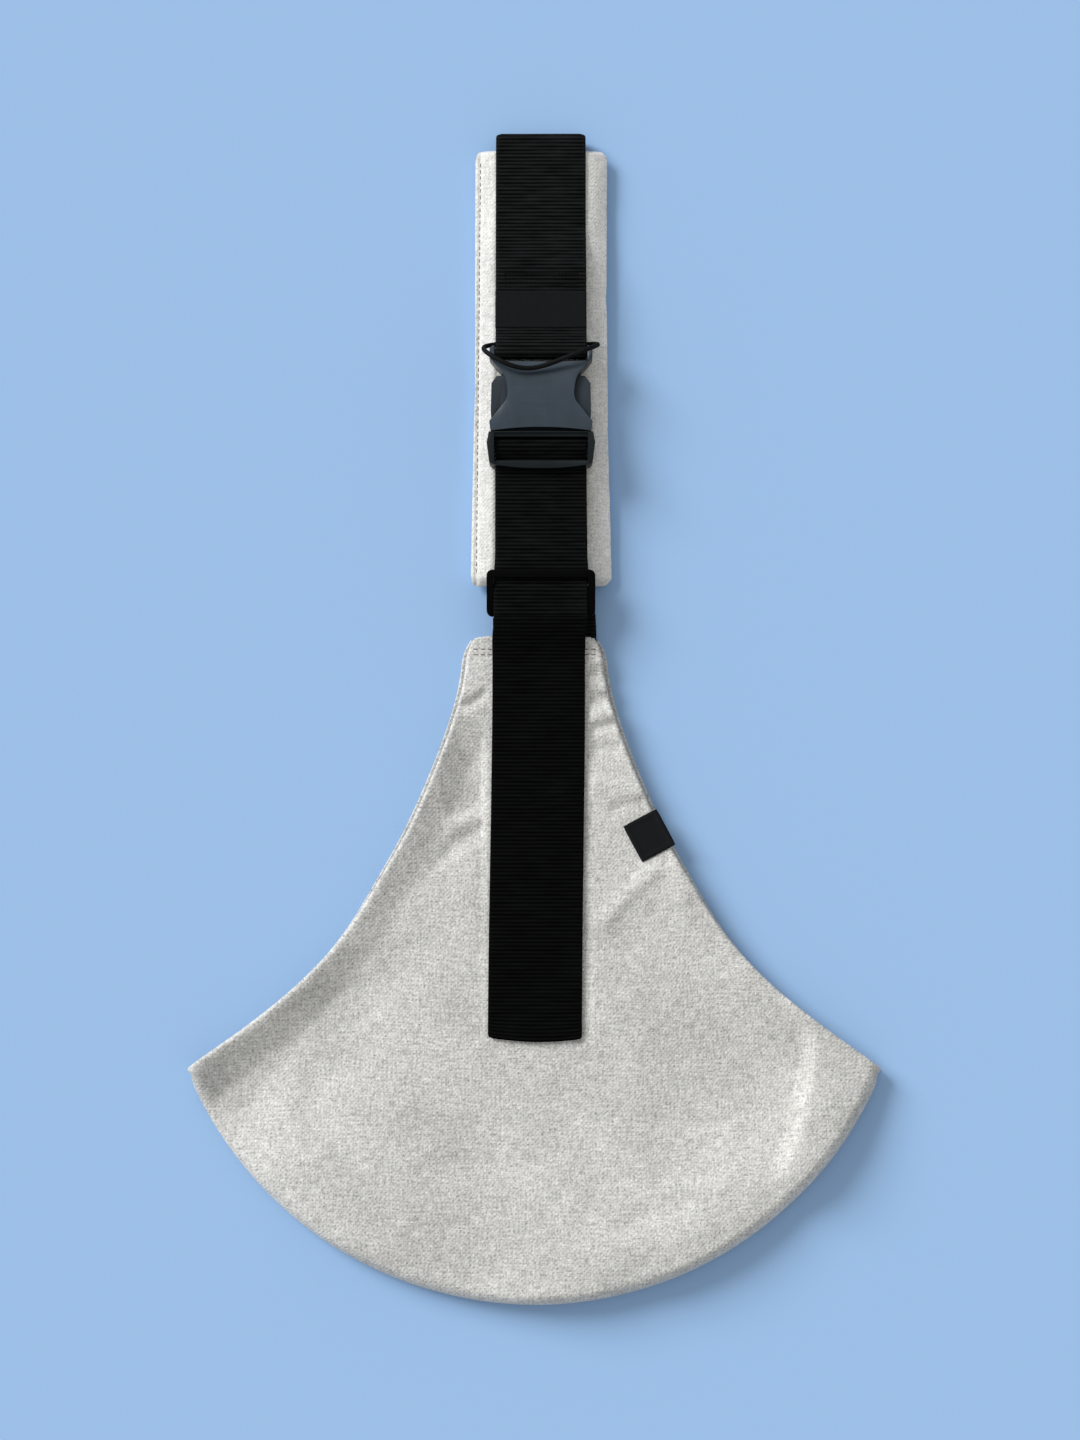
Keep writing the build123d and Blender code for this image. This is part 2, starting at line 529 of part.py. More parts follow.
def make_female():
    """The hollow half: open mouth, a waist that bares the arms, a sloping brow, slot and bar."""
    half = FEMALE_WIDTH / 2
    waist = half - FEMALE_WAIST_INSET
    body = FEMALE_BODY_LENGTH
    arch = FEMALE_MOUTH_ARCH
    with BuildPart() as female:
        with BuildSketch(Plane((STRAP_X, MOUTH_Y, BUCKLE_Z))):
            with BuildLine():
                mouth = ThreePointArc((0, arch), (half / 2, arch * 0.75), (half - CROWN, 0))
                waist_start = (waist + FEMALE_WAIST_EASE / 2, FEMALE_WAIST_START)
                flare = Polyline(mouth @ 1, (half, FEMALE_FLARE_LENGTH), waist_start)
                window = Spline(
                    flare @ 1,
                    (waist, FEMALE_WAIST_MIDDLE),
                    (waist + FEMALE_WAIST_EASE, FEMALE_WAIST_END),
                    (half, body + 2.0),
                    tangents=[(-0.6, 1), (0.7, 1)],
                )
                Polyline(window @ 1, (half, FEMALE_LENGTH), (0, FEMALE_LENGTH))
                mirror(about=Plane.YZ)
            outline = make_face()
            corners = outline.vertices().group_by(Axis.Y)[-1]
            fillet(corners, radius=FEMALE_RAIL_CORNER)
        extrude(amount=BUCKLE_THICKNESS)
        with BuildSketch(Plane((STRAP_X, MOUTH_Y - 1, BUCKLE_Z), x_dir=(-1, 0, 0), z_dir=(0, 1, 0))):
            add(crown_profile(FEMALE_WIDTH + 0.2, BUCKLE_THICKNESS))
        extrude(amount=FEMALE_LENGTH + 2, mode=Mode.INTERSECT)
        # the sloping brow behind a ridge line that dips towards the mouth
        brow = Vector(STRAP_X, MOUTH_Y + RIDGE_FROM_MOUTH + RIDGE_RADIUS, BUCKLE_Z)
        slot_r = RIDGE_RADIUS - (body - RIDGE_FROM_MOUTH)
        with BuildSketch(Plane(brow, x_dir=(1, 0, 0), z_dir=(0, -1, 0))):
            Polygon(
                (RIDGE_RADIUS, BUCKLE_THICKNESS + 0.1),
                (slot_r, BUCKLE_THICKNESS - RIDGE_DEPTH),
                (RIDGE_RADIUS / 2, BUCKLE_THICKNESS - RIDGE_DEPTH),
                (RIDGE_RADIUS / 2, 2 * BUCKLE_THICKNESS),
                (RIDGE_RADIUS, 2 * BUCKLE_THICKNESS),
                align=None,
            )
        revolve(axis=Axis(brow, (0, 0, 1)), mode=Mode.SUBTRACT)
        # the cavity for the arms and the tongue
        with BuildSketch(Plane((STRAP_X, MOUTH_Y, BUCKLE_Z + PLASTIC_WALL))):
            with Locations((0, (FEMALE_CAVITY_LENGTH - 2) / 2)):
                Rectangle(FEMALE_CAVITY_WIDTH, FEMALE_CAVITY_LENGTH + 2)
        extrude(amount=CAVITY_HEIGHT, mode=Mode.SUBTRACT)
        # the slot and the space round the bar for the webbing
        bar_local_y = FEMALE_BAR_Y - MOUTH_Y
        slot_end = bar_local_y + FEMALE_LOOP_RADIUS + FEMALE_BAR_TO_SLOT_END
        with BuildSketch(Plane((STRAP_X, MOUTH_Y, BUCKLE_Z - 1))):
            with Locations((0, (body + slot_end) / 2)):
                Rectangle(FEMALE_SLOT_WIDTH, slot_end - body)
        extrude(amount=BUCKLE_THICKNESS + 2, mode=Mode.SUBTRACT)
        bar_length = FEMALE_WIDTH - FEMALE_RAIL_WIDTH
        with BuildSketch(Plane.YZ.offset(STRAP_X - bar_length / 2)):
            with Locations((FEMALE_BAR_Y, FEMALE_BAR_Z)):
                Circle(FEMALE_BAR_DIAMETER / 2)
        extrude(amount=bar_length)
    save(female, "buckle_female")


def make_male():
    """The frame of the male half: base with arm sockets, tongue, rails, webbing bar and bottom bar."""
    half = MALE_WIDTH / 2
    top = -MOUTH_CLEARANCE
    low = -MALE_LENGTH + MALE_BOTTOM_BOW
    base_z = PLASTIC_WALL + MALE_BASE_CLEARANCE
    base_height = CAVITY_HEIGHT - 2 * MALE_BASE_CLEARANCE
    base_width = FEMALE_CAVITY_WIDTH - 2 * MALE_BASE_CLEARANCE
    shoulder = (half - MALE_SHOULDER, top - MALE_SHOULDER_LENGTH)
    lower_edge = (half / 2 + MALE_CORNER, MALE_BOTTOM_BOW / 3 - MALE_LENGTH)
    socket = ARM_ROOT_DIAMETER / 2 + ARM_ROOT_CLEARANCE
    with BuildPart() as male:
        with BuildSketch(Plane((STRAP_X, MOUTH_Y, BUCKLE_Z + CROWN))):
            with BuildLine():
                edge = Polyline((0, top), (half, top), shoulder, (half - MALE_TAPER, low))
                ThreePointArc(edge @ 1, lower_edge, (0, -MALE_LENGTH))
                mirror(about=Plane.YZ)
            outline = make_face()
            lower = outline.vertices().sort_by(Axis.Y)[1:3]
            fillet(lower, radius=MALE_CORNER)
            window_top = top - MALE_TOP_BAR_WIDTH
            window_low = low + MALE_BOTTOM_BAR_WIDTH - MALE_BOTTOM_BOW
            with Locations((0, (window_top + window_low) / 2)):
                Rectangle(MALE_WINDOW_WIDTH, window_top - window_low, mode=Mode.SUBTRACT)
        extrude(amount=BUCKLE_THICKNESS - 2 * CROWN)
        # room for the two webbing layers behind the bottom bar, and a lower front of the top bar
        under = RETURN_Z + HALF_WEB + LAYER_GAP - BUCKLE_Z
        with BuildSketch(Plane((STRAP_X, MOUTH_Y, BUCKLE_Z))):
            with Locations((0, (window_low - MALE_LENGTH - 1) / 2)):
                Rectangle(MALE_WINDOW_WIDTH, window_low + MALE_LENGTH + 1)
        extrude(amount=under, mode=Mode.SUBTRACT)
        with BuildSketch(Plane((STRAP_X, MOUTH_Y, BUCKLE_Z + under + MALE_BOTTOM_BAR_HEIGHT))):
            with Locations((0, -MALE_LENGTH)):
                Rectangle(MALE_WINDOW_WIDTH, 2 * (MALE_LENGTH - 1))
        extrude(amount=BUCKLE_THICKNESS, mode=Mode.SUBTRACT)
        with BuildSketch(Plane((STRAP_X, MOUTH_Y, MALE_BAR_Z - MALE_TOP_BAR_HEIGHT / 2))):
            with Locations((0, (window_top + top) / 2)):
                Rectangle(MALE_WINDOW_WIDTH, top - window_top)
        extrude(amount=MALE_TOP_BAR_HEIGHT)
        # the webbing bar
        bar_length = MALE_WIDTH - MALE_RAIL_WIDTH
        with BuildSketch(Plane.YZ.offset(STRAP_X - bar_length / 2)):
            with Locations((MALE_BAR_Y, MALE_BAR_Z)):
                Circle(MALE_BAR_DIAMETER / 2)
        extrude(amount=bar_length)
        # the base inside the mouth, its arm sockets and the tongue
        with BuildSketch(Plane((STRAP_X, MOUTH_Y, BUCKLE_Z + base_z))):
            with Locations((0, MALE_BASE_LENGTH / 2 - MALE_TOP_BAR_WIDTH)):
                Rectangle(base_width, MALE_BASE_LENGTH)
            with Locations((0, (TONGUE_LENGTH + ARM_ROOT_FROM_MOUTH) / 2)):
                RectangleRounded(TONGUE_WIDTH, TONGUE_LENGTH - ARM_ROOT_FROM_MOUTH, TONGUE_CORNER)
        extrude(amount=base_height)
        with BuildSketch(Plane((STRAP_X, MOUTH_Y, BUCKLE_Z))):
            with Locations((-ARM_ROOT_X, ARM_ROOT_FROM_MOUTH), (ARM_ROOT_X, ARM_ROOT_FROM_MOUTH)):
                Circle(socket)
        extrude(amount=BUCKLE_THICKNESS, mode=Mode.SUBTRACT)
    save(male, "buckle_male")


def make_arm(name, side):
    """One springy arm: a round root in its socket, a slim beam and the lobe that is pressed."""
    root_x = ARM_ROOT_X
    beam_in = root_x - ARM_BEAM_WIDTH / 2
    beam_out = root_x + ARM_BEAM_WIDTH / 2
    lobe_out = FEMALE_WIDTH / 2 - ARM_LOBE_INSET
    catch = FEMALE_CAVITY_WIDTH / 2 + ARM_CATCH_REACH
    z = BUCKLE_Z + PLASTIC_WALL + ARM_CLEARANCE
    arm_height = CAVITY_HEIGHT - 2 * ARM_CLEARANCE
    outline = [
        (beam_in, ARM_ROOT_FROM_MOUTH),
        (beam_out, ARM_ROOT_FROM_MOUTH),
        (beam_out + 0.6, ARM_CATCH_Y - 1.0),
        (beam_out + 2.2, ARM_CATCH_Y + 1.5),
        (catch, ARM_CATCH_Y),
        (lobe_out, ARM_LOBE_START),
        (lobe_out - 0.3, ARM_LOBE_END - 4.0),
        (lobe_out - 3.2, ARM_LOBE_END),
        (beam_in + 0.8, ARM_LOBE_END + 0.6),
        (beam_in - 1.2, ARM_LOBE_END - 3.0),
        (beam_in, ARM_LOBE_START - 1.0),
    ]
    with BuildPart() as arm:
        with BuildSketch(Plane((STRAP_X, MOUTH_Y, z))) as plan:
            with BuildLine():
                Polyline(*[(side * x, y) for x, y in outline], close=True)
            make_face()
            fillet(plan.vertices().filter_by(lambda v: v.Y > ARM_ROOT_FROM_MOUTH + 1), radius=ARM_CORNER)
            with Locations((side * root_x, ARM_ROOT_FROM_MOUTH)):
                Circle(ARM_ROOT_DIAMETER / 2)
        extrude(amount=arm_height)
    save(arm, name)


# ---------------------------------------------------------------- slider
def make_slider():
    """Three bars between two rails: the top bar in front of the webbing, the others behind it."""
    low_y = SLIDER_BOTTOM_Y
    top_y = low_y + SLIDER_LENGTH
    low_z = SLIDER_BOTTOM_Z
    high_z = SLIDER_FRONT_BAR_Z + SLIDER_BAR_THICKNESS
    behind_z = low_z + SLIDER_BAR_THICKNESS
    with BuildPart() as slider:
        with BuildSketch(Plane.YZ.offset(STRAP_X - SLIDER_WIDTH / 2)):
            Polygon(
                (low_y, low_z),
                (top_y - SLIDER_LEAN, low_z),
                (top_y, SLIDER_FRONT_BAR_Z),
                (top_y, high_z),
                (top_y - SLIDER_BAR_WIDTH, high_z),
                (low_y + SLIDER_BAR_WIDTH, RETURN_Z),
                (low_y, behind_z),
                align=None,
            )
        extrude(amount=SLIDER_WIDTH)
        with BuildSketch(Plane((STRAP_X, (low_y + top_y) / 2, low_z))):
            RectangleRounded(SLIDER_WIDTH, SLIDER_LENGTH, SLIDER_CORNER)
        extrude(amount=high_z, mode=Mode.INTERSECT)
        # the window between the rails, leaving the top bar in front and two bars behind
        with BuildSketch(Plane.YZ.offset(STRAP_X - SLIDER_WINDOW_WIDTH / 2)):
            Polygon(
                (low_y - 1, behind_z),
                (top_y - SLIDER_LEAN, behind_z),
                (top_y + 1, SLIDER_FRONT_BAR_Z - SLIDER_EDGE_HEIGHT),
                (top_y + 1, SLIDER_FRONT_BAR_Z),
                (top_y - SLIDER_BAR_WIDTH, SLIDER_FRONT_BAR_Z),
                (top_y - SLIDER_BAR_WIDTH, high_z + 1),
                (low_y - 1, high_z + 1),
                align=None,
            )
        extrude(amount=SLIDER_WINDOW_WIDTH, mode=Mode.SUBTRACT)
        middle_y = low_y + SLIDER_LENGTH / 2 - SLIDER_BAR_WIDTH / 4
        slots = [
            (low_y + SLIDER_BAR_WIDTH, middle_y - SLIDER_BAR_WIDTH / 2),
            (middle_y + SLIDER_BAR_WIDTH / 2, top_y + 1),
        ]
        for start, end in slots:
            with BuildSketch(Plane((STRAP_X, (start + end) / 2, low_z - 1))):
                Rectangle(SLIDER_WINDOW_WIDTH, end - start)
            extrude(amount=SLIDER_BAR_THICKNESS + 2, mode=Mode.SUBTRACT)
    save(slider, "slider")


os.makedirs("parts", exist_ok=True)
make_back_panel()
make_front_panel()
make_neck_hem("front_neck_hem", FRONT_PANEL_BOTTOM_Z - HEM_THICKNESS)
make_neck_hem("back_neck_hem", PANEL_THICKNESS)
make_neck_stitches()
make_pad()
make_shoulder_webbing()
make_load_webbing()
make_load_webbing_root()
make_tail()
make_loop_stitches()
make_labels()
make_elastic()
make_female()
make_male()
make_arm("buckle_arm_left", -1)
make_arm("buckle_arm_right", 1)
make_slider()
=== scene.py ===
import math

import bmesh
import bpy
import numpy as np
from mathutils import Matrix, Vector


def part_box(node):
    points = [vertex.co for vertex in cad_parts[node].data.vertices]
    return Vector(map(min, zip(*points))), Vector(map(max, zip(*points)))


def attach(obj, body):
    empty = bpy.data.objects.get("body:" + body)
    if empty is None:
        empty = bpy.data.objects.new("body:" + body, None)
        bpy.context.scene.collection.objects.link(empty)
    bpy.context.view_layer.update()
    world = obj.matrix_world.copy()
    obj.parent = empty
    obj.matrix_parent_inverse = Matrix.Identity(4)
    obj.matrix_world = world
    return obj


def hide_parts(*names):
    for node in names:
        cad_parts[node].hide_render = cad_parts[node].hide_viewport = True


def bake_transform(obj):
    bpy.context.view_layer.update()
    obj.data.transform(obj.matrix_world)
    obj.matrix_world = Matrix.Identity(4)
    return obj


bl_info = {
    "name": "Sling Carrier Pieces",
    "version": (1, 0, 0),
    "blender": (4, 5, 0),
    "location": "3D View > Sidebar > Sling",
    "description": "Builds the cloth, webbing, thread and hardware of a padded cross-body child sling",
    "category": "Add Mesh",
}

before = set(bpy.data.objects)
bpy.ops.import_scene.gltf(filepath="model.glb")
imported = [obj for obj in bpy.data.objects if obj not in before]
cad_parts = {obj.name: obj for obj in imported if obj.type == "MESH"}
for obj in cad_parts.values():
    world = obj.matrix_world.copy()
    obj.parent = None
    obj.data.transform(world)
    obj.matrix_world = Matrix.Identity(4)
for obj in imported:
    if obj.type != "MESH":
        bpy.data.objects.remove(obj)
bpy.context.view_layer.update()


def corners(node):
    """A CAD node's lowest and highest corner."""
    return tuple(np.array(corner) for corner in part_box(node))


MM = 0.001
SEAT_LOW, SEAT_HIGH = corners("seat_front_panel")
STRAP_LOW, STRAP_HIGH = corners("shoulder_webbing")
TAIL_LOW, TAIL_HIGH = corners("tail_webbing")
ROOT_LOW, ROOT_HIGH = corners("load_webbing_root")
PAD_LOW, PAD_HIGH = corners("pad_cover")
FLANGE_LOW, FLANGE_HIGH = corners("pad_seam_flange")
FEMALE_LOW, FEMALE_HIGH = corners("buckle_female")
SLIDER_LOW, SLIDER_HIGH = corners("slider")
TAG_LOW, TAG_HIGH = corners("side_label")
BAND_LOW, BAND_HIGH = corners("webbing_label")
LOAD_LOW = corners("load_webbing")[0]
MALE_LOW = corners("buckle_male")[0]

STRAP_X = (STRAP_LOW[0] + STRAP_HIGH[0]) / 2
NECK_Y, BOTTOM_Y, FOLD_Y = SEAT_HIGH[1], SEAT_LOW[1], STRAP_HIGH[1]
FRONT_Z = SEAT_HIGH[2] - 0.75 * MM                  # middle of the front cloth
BACK_Z = corners("seat_back_panel")[1][2] / 2       # middle of the back cloth
SEAT_RADIUS = 203 * MM                              # the round bottom edge
ARC_Y = BOTTOM_Y + SEAT_RADIUS
TIP_Y = BOTTOM_Y + 122.5 * MM
TIP_X = math.sqrt(SEAT_RADIUS**2 - (TIP_Y - ARC_Y) ** 2)
NECK_HALF = 39 * MM
LEG_INSET = 2.6 * MM                                # from the front cloth's leg edges out to the back's
SEAM_ALLOWANCE = 3 * MM
PAD_SEAM = 0.5 * MM                                 # from the pad's side to the line of its seam
LOAD_Z, RETURN_Z = 14.5 * MM, 16.2 * MM             # the webbing's two layers between slider and buckle
LOOP_Z = 14.95 * MM                                 # the sewn loop's upper layer

# The leg edge from neck corner to side tip, as shares of its run across and down.
LEG_SHARES = [
    (-0.030, 0.000), (-0.006, 0.030), (0.006, 0.075), (0.030, 0.150), (0.076, 0.241),
    (0.134, 0.335), (0.237, 0.476), (0.316, 0.565), (0.404, 0.659), (0.512, 0.748),
    (0.665, 0.842), (0.862, 0.937), (0.975, 0.988), (1.000, 1.000),
]

# The pad's face across its width: x and height in millimetres.
PAD_PROFILE = [
    (-37.2, 3.4), (-35.6, 4.9), (-33.0, 6.2), (-29.0, 8.0), (-25.0, 9.6), (-22.4, 10.15),
    (-21.2, 9.75), (-19.0, 9.7), (3.5, 9.7), (26.0, 9.7), (28.8, 9.8), (31.5, 9.6),
    (35.0, 8.7), (38.5, 7.2), (41.5, 5.6), (44.6, 3.2),
]

# Soft creases of the front cloth: points along each in millimetres, half-width, height and how far it
# fades in at both ends. A negative height is a furrow.
CREASES = [
    ([(-44, -3), (-34, 0), (-24, 7)], 3.6, -2.7, 3),
    ([(-24, -51), (-36, -56), (-50, -60)], 10.0, -2.2, 6),
    ([(-20, -57), (-34, -64), (-50, -68)], 4.2, 1.7, 6),
    ([(-20, -66), (-40, -76), (-58, -92)], 5.0, -1.6, 8),
    ([(28, 4), (36, 2), (46, 3)], 3.8, -2.5, 3),
    ([(28, 19), (36, 16.5), (44, 15)], 3.4, -2.2, 3),
    ([(28, -8), (38, -7), (48, -5)], 4.0, 1.7, 4),
    ([(28, -15), (38, -13), (46, -12)], 3.0, -1.8, 4),
    ([(28, -24), (38, -25), (50, -24)], 5.0, -1.3, 5),
    ([(28, -42), (46, -48), (62, -52)], 4.6, 1.7, 6),
    ([(38, -60), (50, -56), (62, -52)], 3.4, -1.3, 5),
    ([(70, -86), (56, -99), (33, -124)], 4.8, 1.8, 8),
    ([(73, -84), (79, -98), (82, -112)], 5.5, 1.3, 6),
    ([(60, -108), (70, -117), (80, -121)], 6.5, -1.1, 8),
    ([(32, -134), (58, -131), (84, -142)], 7.0, -0.6, 12),
    ([(10, -226), (48, -223), (88, -226), (128, -212)], 3.0, -0.30, 14),
    ([(-60, -262), (-10, -258), (36, -262)], 14.0, 0.75, 25),
    ([(30, -262), (52, -264), (78, -258)], 6.0, 0.55, 10),
    ([(42, -278), (64, -272), (92, -262)], 5.0, -0.55, 10),
    ([(36, -292), (68, -288), (100, -274)], 8.0, 0.65, 12),
    ([(-128, -232), (-118, -258), (-96, -284)], 7.0, -0.35, 12),
    ([(-148, -214), (-112, -210), (-60, -222)], 12.0, 0.8, 20),
    ([(-66, -110), (-52, -140), (-44, -176)], 12.0, 0.45, 20),
    ([(92, -150), (112, -178), (120, -210)], 10.0, -0.55, 16),
    ([(-95, -140), (-84, -148), (-70, -152)], 5.0, -0.5, 8),
]

# Dents of the front cloth, in millimetres: middle x and y, half-width, half-height and depth.
DENTS = [
    (-166, -214, 11, 13, 1.6), (-163, -193, 8, 9, 1.2), (-131, -166, 8, 6, 1.0),
    (-36, -38, 9, 12, 1.5), (-158, -203, 16, 16, 1.6),
]

# Swellings of the seam round the bottom, in millimetres: height, radius at which it starts and at which it's
# full, middle x and half-width.
SEAM_SWELLS = [(2.6, 140, 182, 14, 40), (2.4, 146, 184, 92, 28), (1.6, 146, 184, -104, 30)]

# The step near the right tip, from top to bottom.
TIP_STEP = [(134, -154), (147, -173), (150.5, -186), (148, -204), (143, -224), (134, -248), (124, -264)]


# ---------------------------------------------------------------- shapes
def ease(start, end, value):
    """Smooth step: t squared times (3 - 2t), t being the clipped share of the way from start to end."""
    t = np.clip((np.asarray(value, float) - start) / (end - start), 0, 1)
    return t * t * (3 - 2 * t)


def bell(*parts):
    """Exponential of minus the sum of the squares."""
    return np.exp(-sum(part**2 for part in parts))


def lengths(vectors):
    return np.linalg.norm(vectors, axis=-1)


def join(*parts):
    """Points or vectors from arrays of their parts."""
    return np.stack(parts, axis=-1)


def run_along(path):
    """Length of a path from its start to each of its points."""
    return np.concatenate([[0], np.cumsum(lengths(np.diff(path, axis=0)))])


def evenly(line, count):
    """A line read at count even steps of its length."""
    run = run_along(line)
    even = np.linspace(0, run[-1], count)
    return np.stack([np.interp(even, run, line[:, k]) for k in range(line.shape[1])], axis=1)


def smooth_line(points, count):
    """A natural cubic spline through the points, parametrised by chord length, read at even steps."""
    knots = np.asarray(points, float)
    at = run_along(knots)
    step = np.diff(at)
    n = len(knots)
    system = np.eye(n)
    right = np.zeros_like(knots)
    for k in range(1, n - 1):
        system[k, k - 1 : k + 2] = (step[k - 1], 2 * (step[k - 1] + step[k]), step[k])
        right[k] = 6 * ((knots[k + 1] - knots[k]) / step[k] - (knots[k] - knots[k - 1]) / step[k - 1])
    bend = np.linalg.solve(system, right)
    where = np.linspace(0, at[-1], 8 * count)
    k = np.clip(np.searchsorted(at, where) - 1, 0, n - 2)
    h, a, b = (value[:, None] for value in (step[k], at[k + 1] - where, where - at[k]))
    fine = bend[k] * a**3 / (6 * h) + bend[k + 1] * b**3 / (6 * h)
    fine = fine + (knots[k] / h - bend[k] * h / 6) * a + (knots[k + 1] / h - bend[k + 1] * h / 6) * b
    return evenly(fine, count)


def rounded_line(points, radii, step):
    """A polyline read at even steps; its corners are quadratic curves that start and end one radius away."""
    knots = np.asarray(points, float)
    made = [knots[:1]]
    share = np.linspace(0, 1, 12)[:, None]
    for k in range(1, len(knots) - 1):
        before, after = knots[k - 1] - knots[k], knots[k + 1] - knots[k]
        reach = min(radii[k - 1], np.linalg.norm(before) * 0.49, np.linalg.norm(after) * 0.49)
        start = knots[k] + before / np.linalg.norm(before) * reach
        end = knots[k] + after / np.linalg.norm(after) * reach
        made.append(start * (1 - share) ** 2 + knots[k] * 2 * share * (1 - share) + end * share**2)
    line = np.concatenate(made + [knots[-1:]])
    line = line[np.concatenate([[True], np.diff(run_along(line)) > 1e-9])]
    return evenly(line, max(3, int(run_along(line)[-1] / step)))


def soft_noise(x, y, cell, seed):
    """Seeded values on a square lattice of that cell, joined by the quintic 6t^5 - 15t^4 + 10t^3."""
    lattice = 88
    values = np.random.default_rng(seed).uniform(-1, 1, (lattice + 1, lattice + 1))
    gx, gy = x / cell + 400.37, y / cell + 400.71
    ix, iy = np.floor(gx).astype(int), np.floor(gy).astype(int)
    sx, sy = (t**3 * (t * (t * 6 - 15) + 10) for t in (gx - ix, gy - iy))
    ix, iy = ix % lattice, iy % lattice
    low = values[ix, iy] * (1 - sx) + values[ix + 1, iy] * sx
    high = values[ix, iy + 1] * (1 - sx) + values[ix + 1, iy + 1] * sx
    return low * (1 - sy) + high * sy


def from_line(x, y, path):
    """Each point's distance to a polyline, side of it (1 is left, -1 right) and share of its length."""
    path = np.asarray(path, float)
    run = run_along(path)
    best = np.full(np.shape(x), np.inf)
    side = np.zeros(np.shape(x))
    along = np.zeros(np.shape(x))
    for k in range(len(path) - 1):
        d = path[k + 1] - path[k]
        t = np.clip(((x - path[k, 0]) * d[0] + (y - path[k, 1]) * d[1]) / (d @ d), 0, 1)
        off_x, off_y = x - path[k, 0] - t * d[0], y - path[k, 1] - t * d[1]
        gap = np.hypot(off_x, off_y)
        closer = gap < best
        best = np.where(closer, gap, best)
        side = np.where(closer, np.sign(d[0] * off_y - d[1] * off_x), side)
        along = np.where(closer, (run[k] + t * (run[k + 1] - run[k])) / run[-1], along)
    return best, side, along


def grid_faces(rows, columns, closed_rows=False, closed_columns=False):
    """Four-cornered faces between neighbours in a grid of points, joined round where closed."""
    index = np.arange(rows * columns).reshape(rows, columns)
    if closed_rows:
        index = np.concatenate([index, index[:1]])
    if closed_columns:
        index = np.concatenate([index, index[:, :1]], axis=1)
    return join(index[:-1, :-1], index[:-1, 1:], index[1:, 1:], index[1:, :-1]).reshape(-1, 4)


def get_points(mesh, what="co"):
    """The places, or another vector, of a mesh's vertices."""
    place = np.zeros(len(mesh.vertices) * 3, np.float32)
    mesh.vertices.foreach_get(what, place)
    return place.reshape(-1, 3)


def set_points(mesh, place):
    """Moves a mesh's vertices."""
    mesh.vertices.foreach_set("co", place.astype(np.float32).ravel())
    mesh.update()


def set_all(thing, **values):
    """Sets several properties of a modifier, a light, a camera or a node."""
    for name, value in values.items():
        setattr(thing, name, value)


def smooth_faces(mesh):
    mesh.polygons.foreach_set("use_smooth", np.ones(len(mesh.polygons), bool))


def lay_cloth_map(mesh, flat):
    """Writes the vertices' places on the flat cloth into the UV layer that the finishes read."""
    layer = mesh.uv_layers.new(name="cloth")
    corner = np.zeros(len(mesh.loops), np.int32)
    mesh.loops.foreach_get("vertex_index", corner)
    flat = np.asarray(flat, float).reshape(-1, 2)[corner]
    layer.data.foreach_set("uv", flat.astype(np.float32).ravel())


def link_piece(name, mesh):
    piece = bpy.data.objects.new(name, mesh)
    bpy.context.scene.collection.objects.link(piece)
    return piece


def make_piece(name, points, faces, cloth_map=None, extra_faces=()):
    """A mesh piece from points, four-cornered faces and, per point, its place on the flat cloth."""
    mesh = bpy.data.meshes.new(name)
    points = np.asarray(points, float).reshape(-1, 3)
    mesh.from_pydata(points.tolist(), [], np.asarray(faces).tolist() + [list(face) for face in extra_faces])
    mesh.update()
    if cloth_map is not None:
        lay_cloth_map(mesh, cloth_map)
    smooth_faces(mesh)
    return link_piece(name, mesh)


def settle(piece, material, slot, nodes, body=None, **sheet):
    """Gives a piece its material, hides the CAD nodes it stands for and attaches it to its body if it has
    one; the record slot and the flat size are not used.
    """
    piece.data.materials.clear()
    piece.data.materials.append(material)
    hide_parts(*nodes)
    if body:
        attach(piece, body)


def give_thickness(piece, thickness):
    """Live Solidify about the middle surface."""
    solid = piece.modifiers.new("cloth thickness", "SOLIDIFY")
    set_all(solid, thickness=thickness, offset=0, use_rim=True, use_quality_normals=True)


def cloth_patch(name, points, cloth_map, thickness, finish, slot, node, flat, held, rests_on):
    """A thin cloth of the carrier from a grid of points, with its thickness and finish; its flat size is not
    used.
    """
    piece = make_piece(name, points, grid_faces(*points.shape[:2]), cloth_map)
    give_thickness(piece, thickness)
    settle(piece, finish, slot, [node], "carrier", flat=flat, held=held, rests_on=[rests_on])


# ---------------------------------------------------------------- seat
def leg_edge(side, inset=0.0):
    """A leg edge of the seat: a smooth line through LEG_SHARES, moved in by inset, ending on the tip."""
    shares, count = np.array(LEG_SHARES), 260
    x = NECK_HALF + shares[:, 0] * (TIP_X - NECK_HALF)
    y = NECK_Y - shares[:, 1] * (NECK_Y - TIP_Y)
    line = smooth_line(join(x, y), count)
    line[:, 0] -= inset * (1 - ease(0.35, 0.85, np.linspace(0, 1, count)))
    line[:, 0] *= side
    return line


